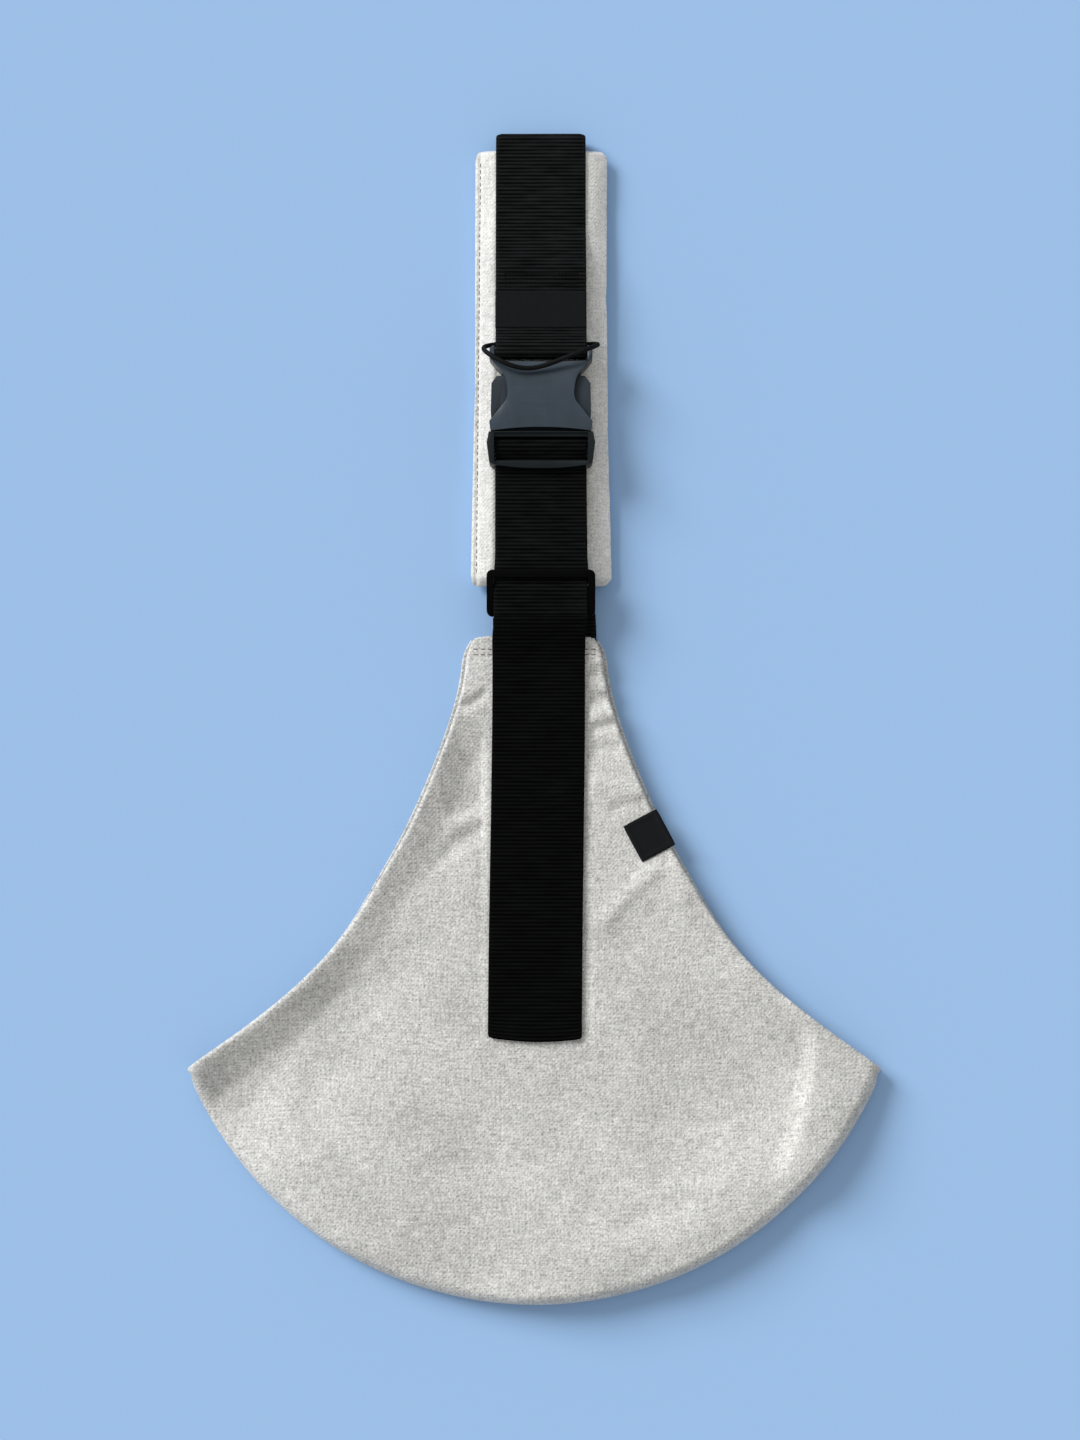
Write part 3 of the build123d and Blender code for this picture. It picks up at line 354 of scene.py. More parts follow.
def seat_patch(across, down, inset):
    """Coons patch of the seat's outline: neck edge, two leg edges and the bottom arc.

    across runs 0 to 1 from left to right, down 0 to 1 from neck to bottom. A point is the neck-bottom blend
    plus the left-right blend minus the blend of the four corners."""
    left, right = leg_edge(-1, inset), leg_edge(1, inset)
    share = np.linspace(0, 1, len(left))

    def on(line, s):
        return join(np.interp(s, share, line[:, 0]), np.interp(s, share, line[:, 1]))

    turn = (across * 2 - 1) * math.asin(TIP_X / SEAT_RADIUS)
    low = join(SEAT_RADIUS * np.sin(turn), ARC_Y - SEAT_RADIUS * np.cos(turn))
    a, d = across[..., None], down[..., None]
    high = left[0] * (1 - a) + right[0] * a
    high[..., 1] -= 1.6 * MM * (2 * across - 1) ** 6
    ruled = on(left, down) * (1 - a) + on(right, down) * a
    square = (left[0] * (1 - a) + right[0] * a) * (1 - d) + (left[-1] * (1 - a) + right[-1] * a) * d
    flat = high * (1 - d) + low * d + ruled - square
    # the two side tips are a little rounded
    limit = 4.2 * MM
    for tip in (-1, 1):
        point = np.array([tip * TIP_X, TIP_Y])
        centre = point - np.array([tip * 5.2, -2.4]) * MM
        away = flat - centre
        reach = lengths(away)
        towards = (away @ (point - centre)) / (reach * np.linalg.norm(point - centre) + 1e-12)
        trim = np.where((towards > 0.5) & (reach > limit), ease(0.5, 0.95, towards), 0)
        flat = centre + away * (1 - trim * (1 - limit / np.maximum(reach, 1e-9)))[..., None]
    return flat


def rolled_shares(count, length, roll):
    """Places across a cloth of that length, packed closer within one roll at each end."""
    sides = 9   # places within the roll
    near = np.linspace(0, 1, sides)[None, :-1] * roll
    middle = np.linspace(0, 1, count - 2 * (sides - 1))[None, :]
    length = np.asarray(length, float)[:, None]
    body = roll + middle * (length - 2 * roll)
    return np.concatenate([near + 0 * length, body, (length - near)[:, ::-1]], axis=1)


def seat_relief(x, y):
    """Height of the front cloth over its level: a furrow inside the left leg edge, creases and noise."""
    mx, my = x / MM, y / MM
    from_left, _, along = from_line(mx, my, leg_edge(-1)[::8] / MM)
    from_right = from_line(mx, my, leg_edge(1)[::8] / MM)[0]
    # the left leg edge stands up and the cloth sags just inside it
    deep = 0.62 + 0.38 * ease(0.30, 0.95, along) - 0.22 * bell((along - 0.46) / 0.07)
    deep *= ease(0.10, 0.24, along)
    deep *= 1 + 0.20 * soft_noise(mx, my, 21, 5)
    late = ease(0.60, 1.0, along)
    wall = ease(2.5, 21 + 6 * late, from_left) * (1 - ease(26 + 8 * late, 110, from_left))
    height = -(6.4 + 2.4 * late) * deep * wall
    height += (1.6 + 1.2 * late) * (0.35 + 0.65 * deep) * bell(from_left / 6.0)
    for dent_x, dent_y, half_width, half_height, depth in DENTS:
        height -= depth * bell((mx - dent_x) / half_width, (my - dent_y) / half_height)
    # the turned seam stands up all along the round bottom, with a hollow inside it
    radius = np.hypot(mx, my - ARC_Y / MM)
    low = ease(-185, -245, my)
    height += low * (4.3 * ease(118, 186, radius) - 1.2 * bell((radius - 112) / 30))
    for rise, start, full, middle, half_width in SEAM_SWELLS:
        height += rise * low * ease(start, full, radius) * bell((mx - middle) / half_width)
    # the neck's hem: a sewn furrow and the hem's lower edge
    height += -1.05 * bell((my - 27.9) / 1.2) - 0.35 * bell((my - 32.8) / 0.8)
    height += 0.35 * bell((my - 25.0) / 1.5)
    # the right leg edge lies nearly flat with a low bead
    height += 0.5 * bell(from_right / 3.0)
    # a step near the right tip: steep towards the middle, gentle towards the tip
    gap, side, share = from_line(mx, my, smooth_line(TIP_STEP, 40))
    step = ease(-9.0, 1.5, gap * side) * (1 - ease(2.0, 44, gap * side))
    height += 4.3 * step * ease(-0.02, 0.10, share) * (1 - ease(0.80, 1.0, share))
    for path, half_width, rise, fade in CREASES:
        gap, _, share = from_line(mx, my, smooth_line(path, 24))
        fade = fade / run_along(path)[-1]
        ends = ease(0, fade, share) * (1 - ease(1 - fade, 1, share))
        height += rise * bell(gap / half_width) * (0.15 + 0.85 * ends)
    height += 1.15 * soft_noise(mx, my, 62, 11) * ease(20, 60, np.hypot(mx - 3, (my + 70) / 2.2))
    height += 0.68 * soft_noise(mx + 0.35 * my, my, 25, 12)
    height += (0.20 + 0.12 * low) * soft_noise(mx - 0.3 * my, my, 10.5, 13)
    height += 0.045 * soft_noise(mx, my, 4.5, 14)
    # the sewn neck stays below the slider that slides over it
    cap = 0.25 - 0.33 * ease(16, 23, my)
    height -= np.maximum(height - cap, 0) * ease(-8, 8, my)
    # the strap's free tail and the tag lie on the cloth, so it stays level and below them
    under_tail = (1 - ease(26.2, 31.5, np.abs(mx - 1.8))) * ease(-236, -220, my)
    height *= 1 - np.where(height > 0, 0.88, 0.5) * under_tail
    height -= 0.12 * under_tail
    tag = (TAG_LOW + TAG_HIGH) / 2 / MM
    under_tag = 1 - ease(12, 20, np.hypot(mx - tag[0], my - tag[1]))
    height = height * (1 - 0.85 * under_tag) - 0.2 * under_tag
    return np.maximum(height, -7.4) * MM


def unrolled(points, flat):
    """Flat places moved on along each column by what its true length has over its length in plan."""
    step = np.diff(points, axis=0)
    extra = lengths(step) - lengths(step[..., :2])
    extra = np.concatenate([np.zeros((1, points.shape[1])), np.cumsum(extra, axis=0)])
    way = np.gradient(flat, axis=0)
    way /= np.maximum(lengths(way)[..., None], 1e-9)
    return flat + way * extra[..., None]


def surface_area(points):
    """Sum of half the cross product of each grid face's diagonals."""
    one = points[1:, 1:] - points[:-1, :-1]
    two = points[1:, :-1] - points[:-1, 1:]
    return float(lengths(np.cross(one, two)).sum() / 2)


def seat_cloth(name, inset, roll, rows, columns, bottom_roll, level, seam_z, relief):
    """One seat cloth and its area. The leg edges turn over in a half circle of radius roll, the bottom edge
    falls to the seam on a quarter ellipse, and relief lifts the rest."""
    rough = seat_patch(*np.meshgrid(np.linspace(0, 1, columns), np.linspace(0, 1, rows)), inset)
    across_length = lengths(np.diff(rough, axis=1)).sum(axis=1)
    down_length = lengths(np.diff(rough, axis=0)).sum(axis=0)
    full = across_length[:, None] + 2 * (math.pi - 1) * roll
    arc = rolled_shares(columns, full[:, 0], math.pi * roll)
    from_end = np.minimum(arc, full - arc)
    turn = np.clip(from_end / roll, 0, math.pi)
    reach = roll * (1 - np.sin(turn)) + np.maximum(from_end - math.pi * roll, 0)
    across = np.where(arc < full / 2, reach, across_length[:, None] - reach) / across_length[:, None]
    fall = 14   # rows in the fall to the seam
    quarter = bottom_roll * (1 - np.cos(np.linspace(0, math.pi / 2, fall)))[::-1]
    top = np.linspace(0, 1, rows - fall + 1)[:-1, None] * (1 - bottom_roll / down_length[None, :])
    down = np.concatenate([top, 1 - quarter[:, None] / down_length[None, :]])
    flat = seat_patch(np.clip(across, 0, 1), down, inset)
    x, y = flat[..., 0], flat[..., 1]
    drop = -roll * (1 + np.cos(turn)) * ease(0.0, 0.06, down)
    from_bottom = np.clip((1 - down) * down_length[None, :] / bottom_roll, 0, 1)
    dome = np.sqrt(np.clip(1 - (1 - from_bottom) ** 2, 0, 1))
    neck = np.clip((NECK_Y - y) / (2.2 * MM), 0, 1)
    height = level + relief(x, y) + drop - 0.4 * MM * (1 - neck) ** 2
    points = join(x, y, seam_z + (height - seam_z) * dome)
    piece = make_piece(name, points, grid_faces(rows, columns)[:, ::-1], unrolled(points, flat))
    return piece, surface_area(points)


def back_relief(x, y):
    """Height of the back cloth over its level: faint noise and a low bead along both leg edges."""
    mx, my = x / MM, y / MM
    gap = np.minimum(*(from_line(mx, my, leg_edge(side)[::10] / MM)[0] for side in (-1, 1)))
    return MM * (0.12 * soft_noise(mx, my, 30, 21) * ease(6, 20, gap) + 0.25 * bell(gap / 3.0))


def front_height(x, y):
    """Height of the front cloth's middle at a place away from its edges."""
    return FRONT_Z + seat_relief(x, y)


# ---------------------------------------------------------------- straps and thread
def strap_section(width, thickness):
    """Cross-section of a webbing: two flat faces joined by round edges, points in order round it."""
    half, across = thickness / 2, 22
    inner = width / 2 - half
    flat = np.linspace(-inner, inner, across)
    turn = np.linspace(math.pi / 2, -math.pi / 2, 7)[1:-1]
    right = join(inner + half * np.cos(turn), half * np.sin(turn))
    top = join(flat, np.full(across, half))
    return np.concatenate([top, right, -top, -right])


def make_strap(name, path, width, thickness, drift, narrow, lift):
    """Webbing: strap_section carried along a path in the Y-Z plane. drift gives the middle's x at each
    point, narrow a factor on the width, lift an extra height. The cloth map is x across and run along it."""
    run = run_along(path)
    ahead = np.gradient(path, axis=0)
    ahead /= lengths(ahead)[:, None]
    section = strap_section(width, thickness)
    across, off = section[None, :, 0], section[None, :, 1]
    x = drift[:, None] + across * (narrow * np.ones(len(path)))[:, None]
    y = path[:, 0:1] - ahead[:, 1:2] * off
    z = path[:, 1:2] + ahead[:, 0:1] * off
    z = z + lift(x, y, run)
    rows, columns = x.shape
    cloth = join(across + 0 * x, run[:, None] + 0 * x)
    ends = (list(range(columns)), list(range((rows - 1) * columns, rows * columns))[::-1])
    faces = grid_faces(rows, columns, closed_columns=True)[:, ::-1]
    return outward(make_piece(name, join(x, y, z), faces, cloth, ends))


def outward(piece):
    """Recalculates a closed mesh's normals so that its faces point out."""
    shape = bmesh.new()
    shape.from_mesh(piece.data)
    bmesh.ops.recalc_face_normals(shape, faces=shape.faces)
    shape.to_mesh(piece.data)
    shape.free()
    piece.data.update()
    return piece


def thread_row(path, height, pitch, length, width):
    """Stitches along a path of (x, y), each a closed grid of rings, half sunk in the cloth."""
    run = run_along(path)
    count = max(2, int(run[-1] / pitch))
    at = (np.arange(count) + 0.5) / count * run[-1]

    def read(where):
        return np.stack([np.interp(where, run, path[:, k]) for k in (0, 1)])

    place = read(at)
    ahead = read(at + pitch / 4) - read(at - pitch / 4)
    ax, ay = (ahead / np.hypot(*ahead))[:, :, None, None]
    rings, around = 7, 6
    u = np.linspace(-1, 1, rings)
    v = np.linspace(0, 2 * math.pi, around + 1)[:-1]
    bulge = np.sqrt(np.clip(1 - u**2 * 0.96, 0, 1))[:, None]
    lx = (u * length / 2)[:, None] + 0 * v[None, :]
    ly = bulge * np.cos(v)[None, :] * width / 2
    lz = bulge * np.sin(v)[None, :] * width / 2
    x = place[0][:, None, None] + ax * lx - ay * ly
    y = place[1][:, None, None] + ay * lx + ax * ly
    z = height(*place)[:, None, None] + lz
    base = grid_faces(rings, around, closed_columns=True)
    first = np.arange(count)[:, None] * rings * around
    faces = (base[None] + first[..., None]).reshape(-1, 4)
    ring = np.arange(around)
    caps = (first + ring).tolist() + (first + (rings - 1) * around + ring[::-1]).tolist()
    return join(x, y, z).reshape(-1, 3), faces, caps


def join_threads(name, rows):
    """One piece from several rows of stitches."""
    points, faces, caps, start = [], [], [], 0
    for row_points, row_faces, row_caps in rows:
        points.append(row_points)
        faces.append(row_faces + start)
        caps += [[k + start for k in ring] for ring in row_caps]
        start += len(row_points)
    return outward(make_piece(name, np.concatenate(points), np.concatenate(faces), None, caps))


# ---------------------------------------------------------------- finishes
class Finish:
    """A material with a Principled shader, and short calls that add and join its nodes."""

    def __init__(self, name, roughness, specular, **sockets):
        self.material = bpy.data.materials.new(name)
        self.material.use_nodes = True
        self.tree = self.material.node_tree
        self.shader = next(n for n in self.tree.nodes if n.type == "BSDF_PRINCIPLED")
        self.shader.inputs["Roughness"].default_value = roughness
        self.shader.inputs["Specular IOR Level"].default_value = specular
        for socket, value in sockets.items():
            self.shader.inputs[socket.replace("_", " ")].default_value = value

    def put(self, socket, value):
        if isinstance(value, bpy.types.NodeSocket):
            self.tree.links.new(value, socket)
        else:
            socket.default_value = value

    def node(self, kind, *values, **settings):
        """A new node with these settings; values go to its first sockets in order."""
        made = self.tree.nodes.new(kind)
        set_all(made, **settings)
        for socket, value in zip(made.inputs, values):
            self.put(socket, value)
        return made

    def math(self, operation, a, b=0.0):
        return self.node("ShaderNodeMath", a, b, operation=operation).outputs[0]

    def plus(self, a, b):
        return self.math("ADD", a, b)

    def times(self, a, b):
        return self.math("MULTIPLY", a, b)

    def total(self, *shares):
        """Sum of values, each times its weight."""
        parts = [self.times(value, weight) for value, weight in shares]
        level = parts[0]
        for part in parts[1:]:
            level = self.plus(level, part)
        return level

    def wave(self, value, length, shift=None):
        """Sine of a place, one turn in that length, its phase moved by shift."""
        phase = self.times(value, 2 * math.pi / length)
        return self.math("SINE", phase if shift is None else self.plus(phase, shift))

    def span(self, value, low, high, to_low=0.0, to_high=1.0):
        return self.node("ShaderNodeMapRange", value, low, high, to_low, to_high, clamp=True).outputs[0]

    def blend(self, factor, a, b):
        made = self.node("ShaderNodeMix", factor, data_type="RGBA")
        self.put(made.inputs[6], a)
        self.put(made.inputs[7], b)
        return made.outputs[2]

    def cloth_map(self):
        return self.node("ShaderNodeUVMap", uv_map="cloth").outputs[0]

    def solid(self):
        return self.node("ShaderNodeTexCoord").outputs["Object"]

    def parts(self, vector):
        return self.node("ShaderNodeSeparateXYZ", vector).outputs[:3]

    def face_up(self, low, high):
        """0 on upright walls, 1 on faces that look up or down."""
        upright = self.parts(self.node("ShaderNodeTexCoord").outputs["Normal"])[2]
        return self.span(self.math("ABSOLUTE", upright), low, high)

    def noise(self, vector, scale, detail=2.0):
        made = self.node("ShaderNodeTexNoise")
        for name, value in (("Vector", vector), ("Scale", scale), ("Detail", detail), ("Roughness", 0.5)):
            self.put(made.inputs[name], value)
        return made.outputs[0]

    def streaks(self, vector, scale, detail=2.0):
        """Noise with its own scale along each axis."""
        made = self.node("ShaderNodeVectorMath", vector, scale, operation="MULTIPLY")
        return self.noise(made.outputs[0], 1.0, detail)

    def colour(self, value):
        self.put(self.shader.inputs["Base Color"], value)

    def roughen(self, value):
        self.put(self.shader.inputs["Roughness"], value)

    def bump(self, height, depth, strength):
        made = self.node("ShaderNodeBump")
        for name, value in (("Height", height), ("Distance", depth), ("Strength", strength)):
            self.put(made.inputs[name], value)
        self.put(self.shader.inputs["Normal"], made.outputs[0])


def tone(colour, factor):
    """A colour's three parts times factor, with full alpha."""
    return tuple(min(1.0, part * factor) for part in tuple(colour)[:3]) + (1.0,)


def made_once(make):
    """Hands back the material of that name if it's there already."""

    def finish(name, *values):
        return bpy.data.materials.get(name) or make(name, *values)

    return finish


@made_once
def canvas_finish(name, colours, tint=1.0, contrast=1.0):
    """Plain-weave cotton: its weave a product of sines, with uneven threads, slubs, flecks and mottling."""
    cotton = tone(colours.canvas, tint)
    f = Finish(name, 0.9, 0.18, Sheen_Weight=0.12, Sheen_Roughness=0.6)
    place = f.cloth_map()
    u, v = f.parts(place)[:2]
    pitch = colours.weave_pitch
    wobble = f.times(f.math("SUBTRACT", f.noise(place, 420, 1.0), 0.5), 0.9)
    over = f.wave(u, 2 * pitch, wobble)
    under = f.wave(v, 2 * pitch, f.times(wobble, -1.0))
    weave = f.plus(f.times(f.times(over, under), 0.5), 0.5)
    weft = f.streaks(place, (150, 1.0 / pitch, 1.0))
    warp = f.streaks(place, (1.0 / pitch, 150, 1.0))
    slub = f.span(f.streaks(place, (85, 1500, 1.0), 1.0), 0.66, 0.74)
    slub_up = f.span(f.streaks(place, (1500, 85, 1.0), 1.0), 0.68, 0.76)
    slubs = f.math("MAXIMUM", slub, slub_up)
    fleck = f.span(f.noise(place, 780, 1.0), 0.60, 0.70)
    fuzz, mottle, broad = f.noise(place, 900, 1.0), f.noise(place, 26, 3.0), f.noise(place, 9, 2.0)
    level = f.total((weft, 0.80), (warp, 0.80), (weave, 0.10), (fuzz, 0.70), (mottle, 0.35), (broad, 0.25))
    dark, light = tone(cotton, 1 - 0.42 * contrast), tone(cotton, 1 + 0.36 * contrast)
    cloth = f.blend(f.span(level, 1.17, 1.93), dark, light)
    cloth = f.blend(f.times(fleck, 0.62 * contrast), cloth, tone(cotton, 0.30))
    f.colour(f.blend(f.times(slubs, 0.60), cloth, tone(cotton, 1.50)))
    f.roughen(f.span(weave, 0, 1, 0.96, 0.84))
    f.bump(f.total((weave, 0.7), (f.plus(weft, warp), 0.8), (slubs, 0.8)), 0.00020, 0.8)
    return f.material


@made_once
def webbing_finish(name, colours, tint=1.0):
    """Nylon webbing: rounded ribs across the strap with a painted sheen on their crests, fine thread between
    them and faint unevenness.
    """
    nylon = tone(colours.webbing, tint)
    f = Finish(name, 0.75, 0.03)
    place = f.cloth_map()
    u, v = f.parts(place)[:2]
    half_step = f.wave(v, 2 * colours.rib_pitch)
    rib = f.math("ABSOLUTE", half_step)
    knot = f.times(f.wave(u, 0.42 * colours.rib_pitch), half_step)
    uneven, broad = f.streaks(place, (60, 480, 1.0)), f.noise(place, 30, 3.0)
    # The rib crests are painted lighter, a painted sheen; the streaks and broad noise are the nylon's own
    # uneven tone.
    level = f.total((rib, 0.50), (uneven, 0.75), (broad, 0.35), (knot, 0.08))
    edge = f.span(f.math("ABSOLUTE", u), 0.0225, 0.0249)
    cloth = f.blend(f.span(level, 0.62, 1.42), tone(nylon, 0.06), tone(nylon, 2.7))
    f.colour(f.blend(f.times(edge, 0.35), cloth, tone(nylon, 2.0)))
    f.roughen(f.span(rib, 0, 1, 0.9, 0.62))
    f.bump(f.plus(rib, f.times(knot, 0.22)), 0.00032, 0.9)
    return f.material


@made_once
def satin_finish(name, colours):
    """Black satin ribbon: long floats on a fine slant with a faint unevenness."""
    f = Finish(name, 0.5, 0.12)
    place = f.cloth_map()
    u, v = f.parts(place)[:2]
    slant = f.wave(f.plus(u, f.times(v, 2.0)), 0.6 * MM)
    uneven = f.streaks(place, (300, 2200, 1.0))
    level = f.span(f.plus(f.times(slant, 0.18), uneven), 0.2, 0.9)
    f.colour(f.blend(level, tone(colours.label, 0.6), tone(colours.label, 1.7)))
    f.roughen(f.span(uneven, 0.2, 0.8, 0.42, 0.6))
    f.bump(f.plus(slant, uneven), 0.00005, 0.6)
    return f.material


@made_once
def thread_finish(name, shade):
    """Sewing thread: a two-ply twist as slanted bands over its solid coordinates."""
    f = Finish(name, 0.8, 0.06)
    x, y, z = f.parts(f.solid())
    twist = f.wave(f.plus(f.plus(x, y), z), 0.7 * MM)
    f.colour(f.blend(f.span(twist, -1, 1), tone(shade, 0.72), tone(shade, 1.1)))
    f.bump(twist, 0.00006, 0.7)
    return f.material


@made_once
def elastic_finish(name, colours):
    """Braided elastic: crossing diagonal bands round and along the ring, with a little worn nap."""
    f = Finish(name, 0.6, 0.08)
    u, v = f.parts(f.cloth_map())[:2]
    band = 1.36 * MM
    braid = f.math("MAXIMUM", f.wave(f.plus(u, v), band), f.wave(f.math("SUBTRACT", u, v), band))
    level = f.plus(f.times(braid, 0.5), f.noise(f.solid(), 900))
    f.colour(f.blend(f.span(level, 0.2, 1.1), tone(colours.elastic, 0.5), tone(colours.elastic, 1.8)))
    f.bump(level, 0.00016, 0.9)
    return f.material


@made_once
def plastic_finish(name, shade, specular):
    """Moulded acetal: a fine spark-eroded grain, a slow change of tone, faint rubbed streaks and painted
    shade on the upright walls.
    """
    f = Finish(name, 0.42, specular)
    place = f.solid()
    slow = f.noise(place, 60)
    rubbed = f.span(f.streaks(place, (60, 900, 60)), 0.60, 0.75)
    shell = f.blend(f.span(slow, 0.3, 0.7), tone(shade, 0.86), tone(shade, 1.14))
    shell = f.blend(f.times(rubbed, 0.18), shell, tone(shade, 1.9))
    # Painted shade: the upright walls are darkened to 0.22 of the colour, standing in for the shade in the
    # grooves and gaps between the parts.
    f.colour(f.blend(f.face_up(0.5, 0.92), tone(shade, 0.22), shell))
    f.roughen(f.span(f.total((slow, 0.6), (rubbed, 0.3)), 0.1, 0.8, 0.34, 0.50))
    f.bump(f.noise(place, 2600), 0.00003, 0.5)
    return f.material


@made_once
def floor_finish(name, colours):
    """Smooth matt board in one pale colour with the faintest grain."""
    f = Finish(name, 0.9, 0.1)
    f.colour(f.blend(f.noise(f.solid(), 300), tone(colours.floor, 0.995), tone(colours.floor, 1.005)))
    return f.material


# ---------------------------------------------------------------- sizes and colours
def number_property(name, description, default, **more):
    return bpy.props.FloatProperty(name=name, description=description, default=default, **more)


def length_property(name, description, default, **limits):
    return number_property(name, description, default, unit="LENGTH", **limits)


def colour_property(name, description, default):
    return bpy.props.FloatVectorProperty(
        name=name, description=description, subtype="COLOR", default=default, min=0, max=1
    )


class SlingSizes(bpy.types.PropertyGroup):
    """Sizes of the sling's soft pieces."""

    cloth: length_property("Canvas Thickness", "Thickness of each seat cloth", 1.2 * MM, min=0.0004)
    web: length_property("Webbing Thickness", "Thickness of the webbing", 1.4 * MM, min=0.0005)
    roll: length_property("Leg Hem Radius", "Radius that the leg edges roll under", 1.5 * MM, min=0.0005)
    bottom_roll: length_property(
        "Bottom Roll", "Run in which the front cloth falls to the bottom seam", 8.5 * MM
    )
    puff: length_property("Pad Puff", "How far the pad may swell past its flat form", 2.4 * MM)
    stitch: length_property("Stitch Pitch", "Distance from stitch to stitch", 3.6 * MM, min=0.001)
    edge: length_property("Hardware Edge", "Rounding of the moulded edges", 0.35 * MM, min=0.0)


class SlingColours(bpy.types.PropertyGroup):
    """Colours and pattern pitches of the sling's finishes."""

    canvas: colour_property("Canvas", "Cotton cloth", (0.645, 0.64, 0.612))
    webbing: colour_property("Webbing", "Nylon webbing", (0.0040, 0.0043, 0.0044))
    label: colour_property("Labels", "Bare satin labels", (0.0042, 0.0052, 0.0060))
    elastic: colour_property("Elastic", "Elastic ring", (0.0042, 0.0045, 0.0048))
    shell: colour_property("Buckle Shell", "Buckle half with the slot", (0.036, 0.052, 0.069))
    prongs: colour_property("Buckle Prongs", "Buckle half with the prongs", (0.0072, 0.0115, 0.013))
    slider: colour_property("Slider", "Length slider", (0.0004, 0.0005, 0.0006))
    light_thread: colour_property("Light Thread", "Thread on the canvas", (0.25, 0.24, 0.215))
    dark_thread: colour_property("Dark Thread", "Thread on the webbing", (0.0048, 0.005, 0.0052))
    floor: colour_property("Floor", "Board under the sling", (0.342, 0.533, 0.815))
    weave_pitch: length_property("Weave Pitch", "Distance from thread to thread in the canvas", 1.25 * MM)
    rib_pitch: length_property("Rib Pitch", "Distance from rib to rib in the webbing", 2.1 * MM)


KEY_ANGLE = math.radians(29)


class SlingLight(bpy.types.PropertyGroup):
    """Light of the stage."""

    key: number_property("Key Strength", "Soft light from the upper left", 3.10, min=0)
    spread: number_property("Key Spread", "How wide the soft light looks", math.radians(28), subtype="ANGLE")
    height: number_property("Key Height", "Angle of the key over the floor", KEY_ANGLE, subtype="ANGLE")
    around: number_property("Surround", "Even light from all round", 0.50, min=0)


# ---------------------------------------------------------------- pieces
def stitch_piece(name, node, rows, finish, slot):
    settle(join_threads(name, rows), finish, slot, [node], "carrier")


class SLING_OT_seat(bpy.types.Operator):
    """Add the two seat cloths with their rolled leg hems, the turned neck hems and the neck's thread"""

    bl_idname = "sling.seat"
    bl_label = "Seat"

    def execute(self, context):
        sizes, colours = context.scene.sling_sizes, context.scene.sling_colours
        self.finish = canvas_finish("cotton canvas", colours)
        front = (LEG_INSET, sizes.roll, 206, 228, sizes.bottom_roll, FRONT_Z, BACK_Z * 3, seat_relief)
        back = (0.0, 0.02 * MM, 130, 140, 1.2 * MM, BACK_Z, BACK_Z, back_relief)
        flat = (2 * TIP_X + 2 * SEAM_ALLOWANCE, NECK_Y - BOTTOM_Y + 2 * SEAM_ALLOWANCE)
        for side, form, under in (("front", front, "seat_back_cloth"), ("back", back, "floor")):
            cloth, area = seat_cloth(f"seat_{side}_cloth", *form)
            give_thickness(cloth, sizes.cloth)
            sheet = {"flat": flat, "held": "laid", "rests_on": [under], "area": area}
            settle(cloth, self.finish, "canvas", [f"seat_{side}_panel"], "carrier", **sheet)
        self.hem("front", 1)
        self.hem("back", -1)
        low, high = corners("neck_hem_stitches")
        rows = []
        for y in (low[1] + 0.3 * MM, high[1] - 0.3 * MM):
            path = np.array([[low[0], y], [high[0], y]])
            rows.append(thread_row(path, self.thread_height, sizes.stitch, 2.7 * MM, 0.62 * MM))
        thread = thread_finish("light thread", colours.light_thread)
        stitch_piece("neck_thread", "neck_hem_stitches", rows, thread, "thread_light")
        return {"FINISHED"}

    def thread_height(self, x, y):
        return front_height(x, y) + bpy.context.scene.sling_sizes.cloth / 2 + 0.02 * MM

    def hem(self, side, sag):
        """A turned hem, as wide as the neck at each height, with faint waves of its face."""
        low, high = corners(f"{side}_neck_hem")
        rows, columns = 14, 72
        along = np.linspace(low[1], high[1] - 0.7 * MM, rows)
        across, along = np.meshgrid(np.linspace(-1, 1, columns), along)
        edge = leg_edge(1, LEG_INSET)[::-1]
        across = across * (np.interp(along, edge[:, 1], edge[:, 0]) - 1.6 * MM)
        wave = 0.06 * MM * np.sin(along / (1.5 * MM))
        wave = wave + 0.05 * MM * soft_noise(across / MM, along / MM, 7, 31)
        points = join(across, along, (low[2] + high[2]) / 2 + wave * sag)
        flat = (high[0] - low[0], high[1] - low[1])
        form = (points, points[..., :2], 0.9 * MM, self.finish, "canvas")
        cloth_patch(f"neck_hem_{side}", *form, f"{side}_neck_hem", flat, "folded", f"seat_{side}_cloth")


def pad_taper(y):
    """Factor on the pad's width: 1.006 at its lower end, 0.956 at the fold."""
    return 1.006 - 0.05 * np.clip((y - PAD_LOW[1]) / (PAD_HIGH[1] - PAD_LOW[1]), 0, 1)


def pad_top(x, y):
    """Height of the pad's face: level under the webbing, falling to both sides, a puckered seam at the left.

    The profile is a smooth line through PAD_PROFILE. Noise, the seam's furrow and the pucker's sine are added
    beside the webbing, and both ends fall on a curve."""
    mx, my = (STRAP_X + (x - STRAP_X) / pad_taper(y)) / MM, y / MM
    profile = smooth_line(PAD_PROFILE, 400)
    z = np.interp(mx, profile[:, 0], profile[:, 1])
    beside = ease(25.2, 29.0, np.abs(mx - STRAP_X / MM))
    z = z + beside * (0.45 * soft_noise(mx, my, 24, 54) + 0.22 * soft_noise(mx, my, 10, 55))
    seam = (mx - (FLANGE_HIGH[0] + PAD_SEAM) / MM) / 0.95
    beat = np.sin(2 * math.pi * my / 7.2 + 2.2 * soft_noise(my, 0 * my, 19, 52))
    z = z - (1.0 + 0.3 * beat) * bell(seam) + 0.16 * beat * bell(seam / 3.4)
    z = z + 0.30 * ease(34, 42, mx) * soft_noise(my, 0 * my, 15, 53)
    end = np.minimum(my - PAD_LOW[1] / MM, PAD_HIGH[1] / MM + 1.2 - my)
    dome = np.clip(end / np.where(my < 150, 5.4, 3.4), 0, 1) ** 0.62
    rim = 2.6
    return (rim + (z - rim) * dome) * MM


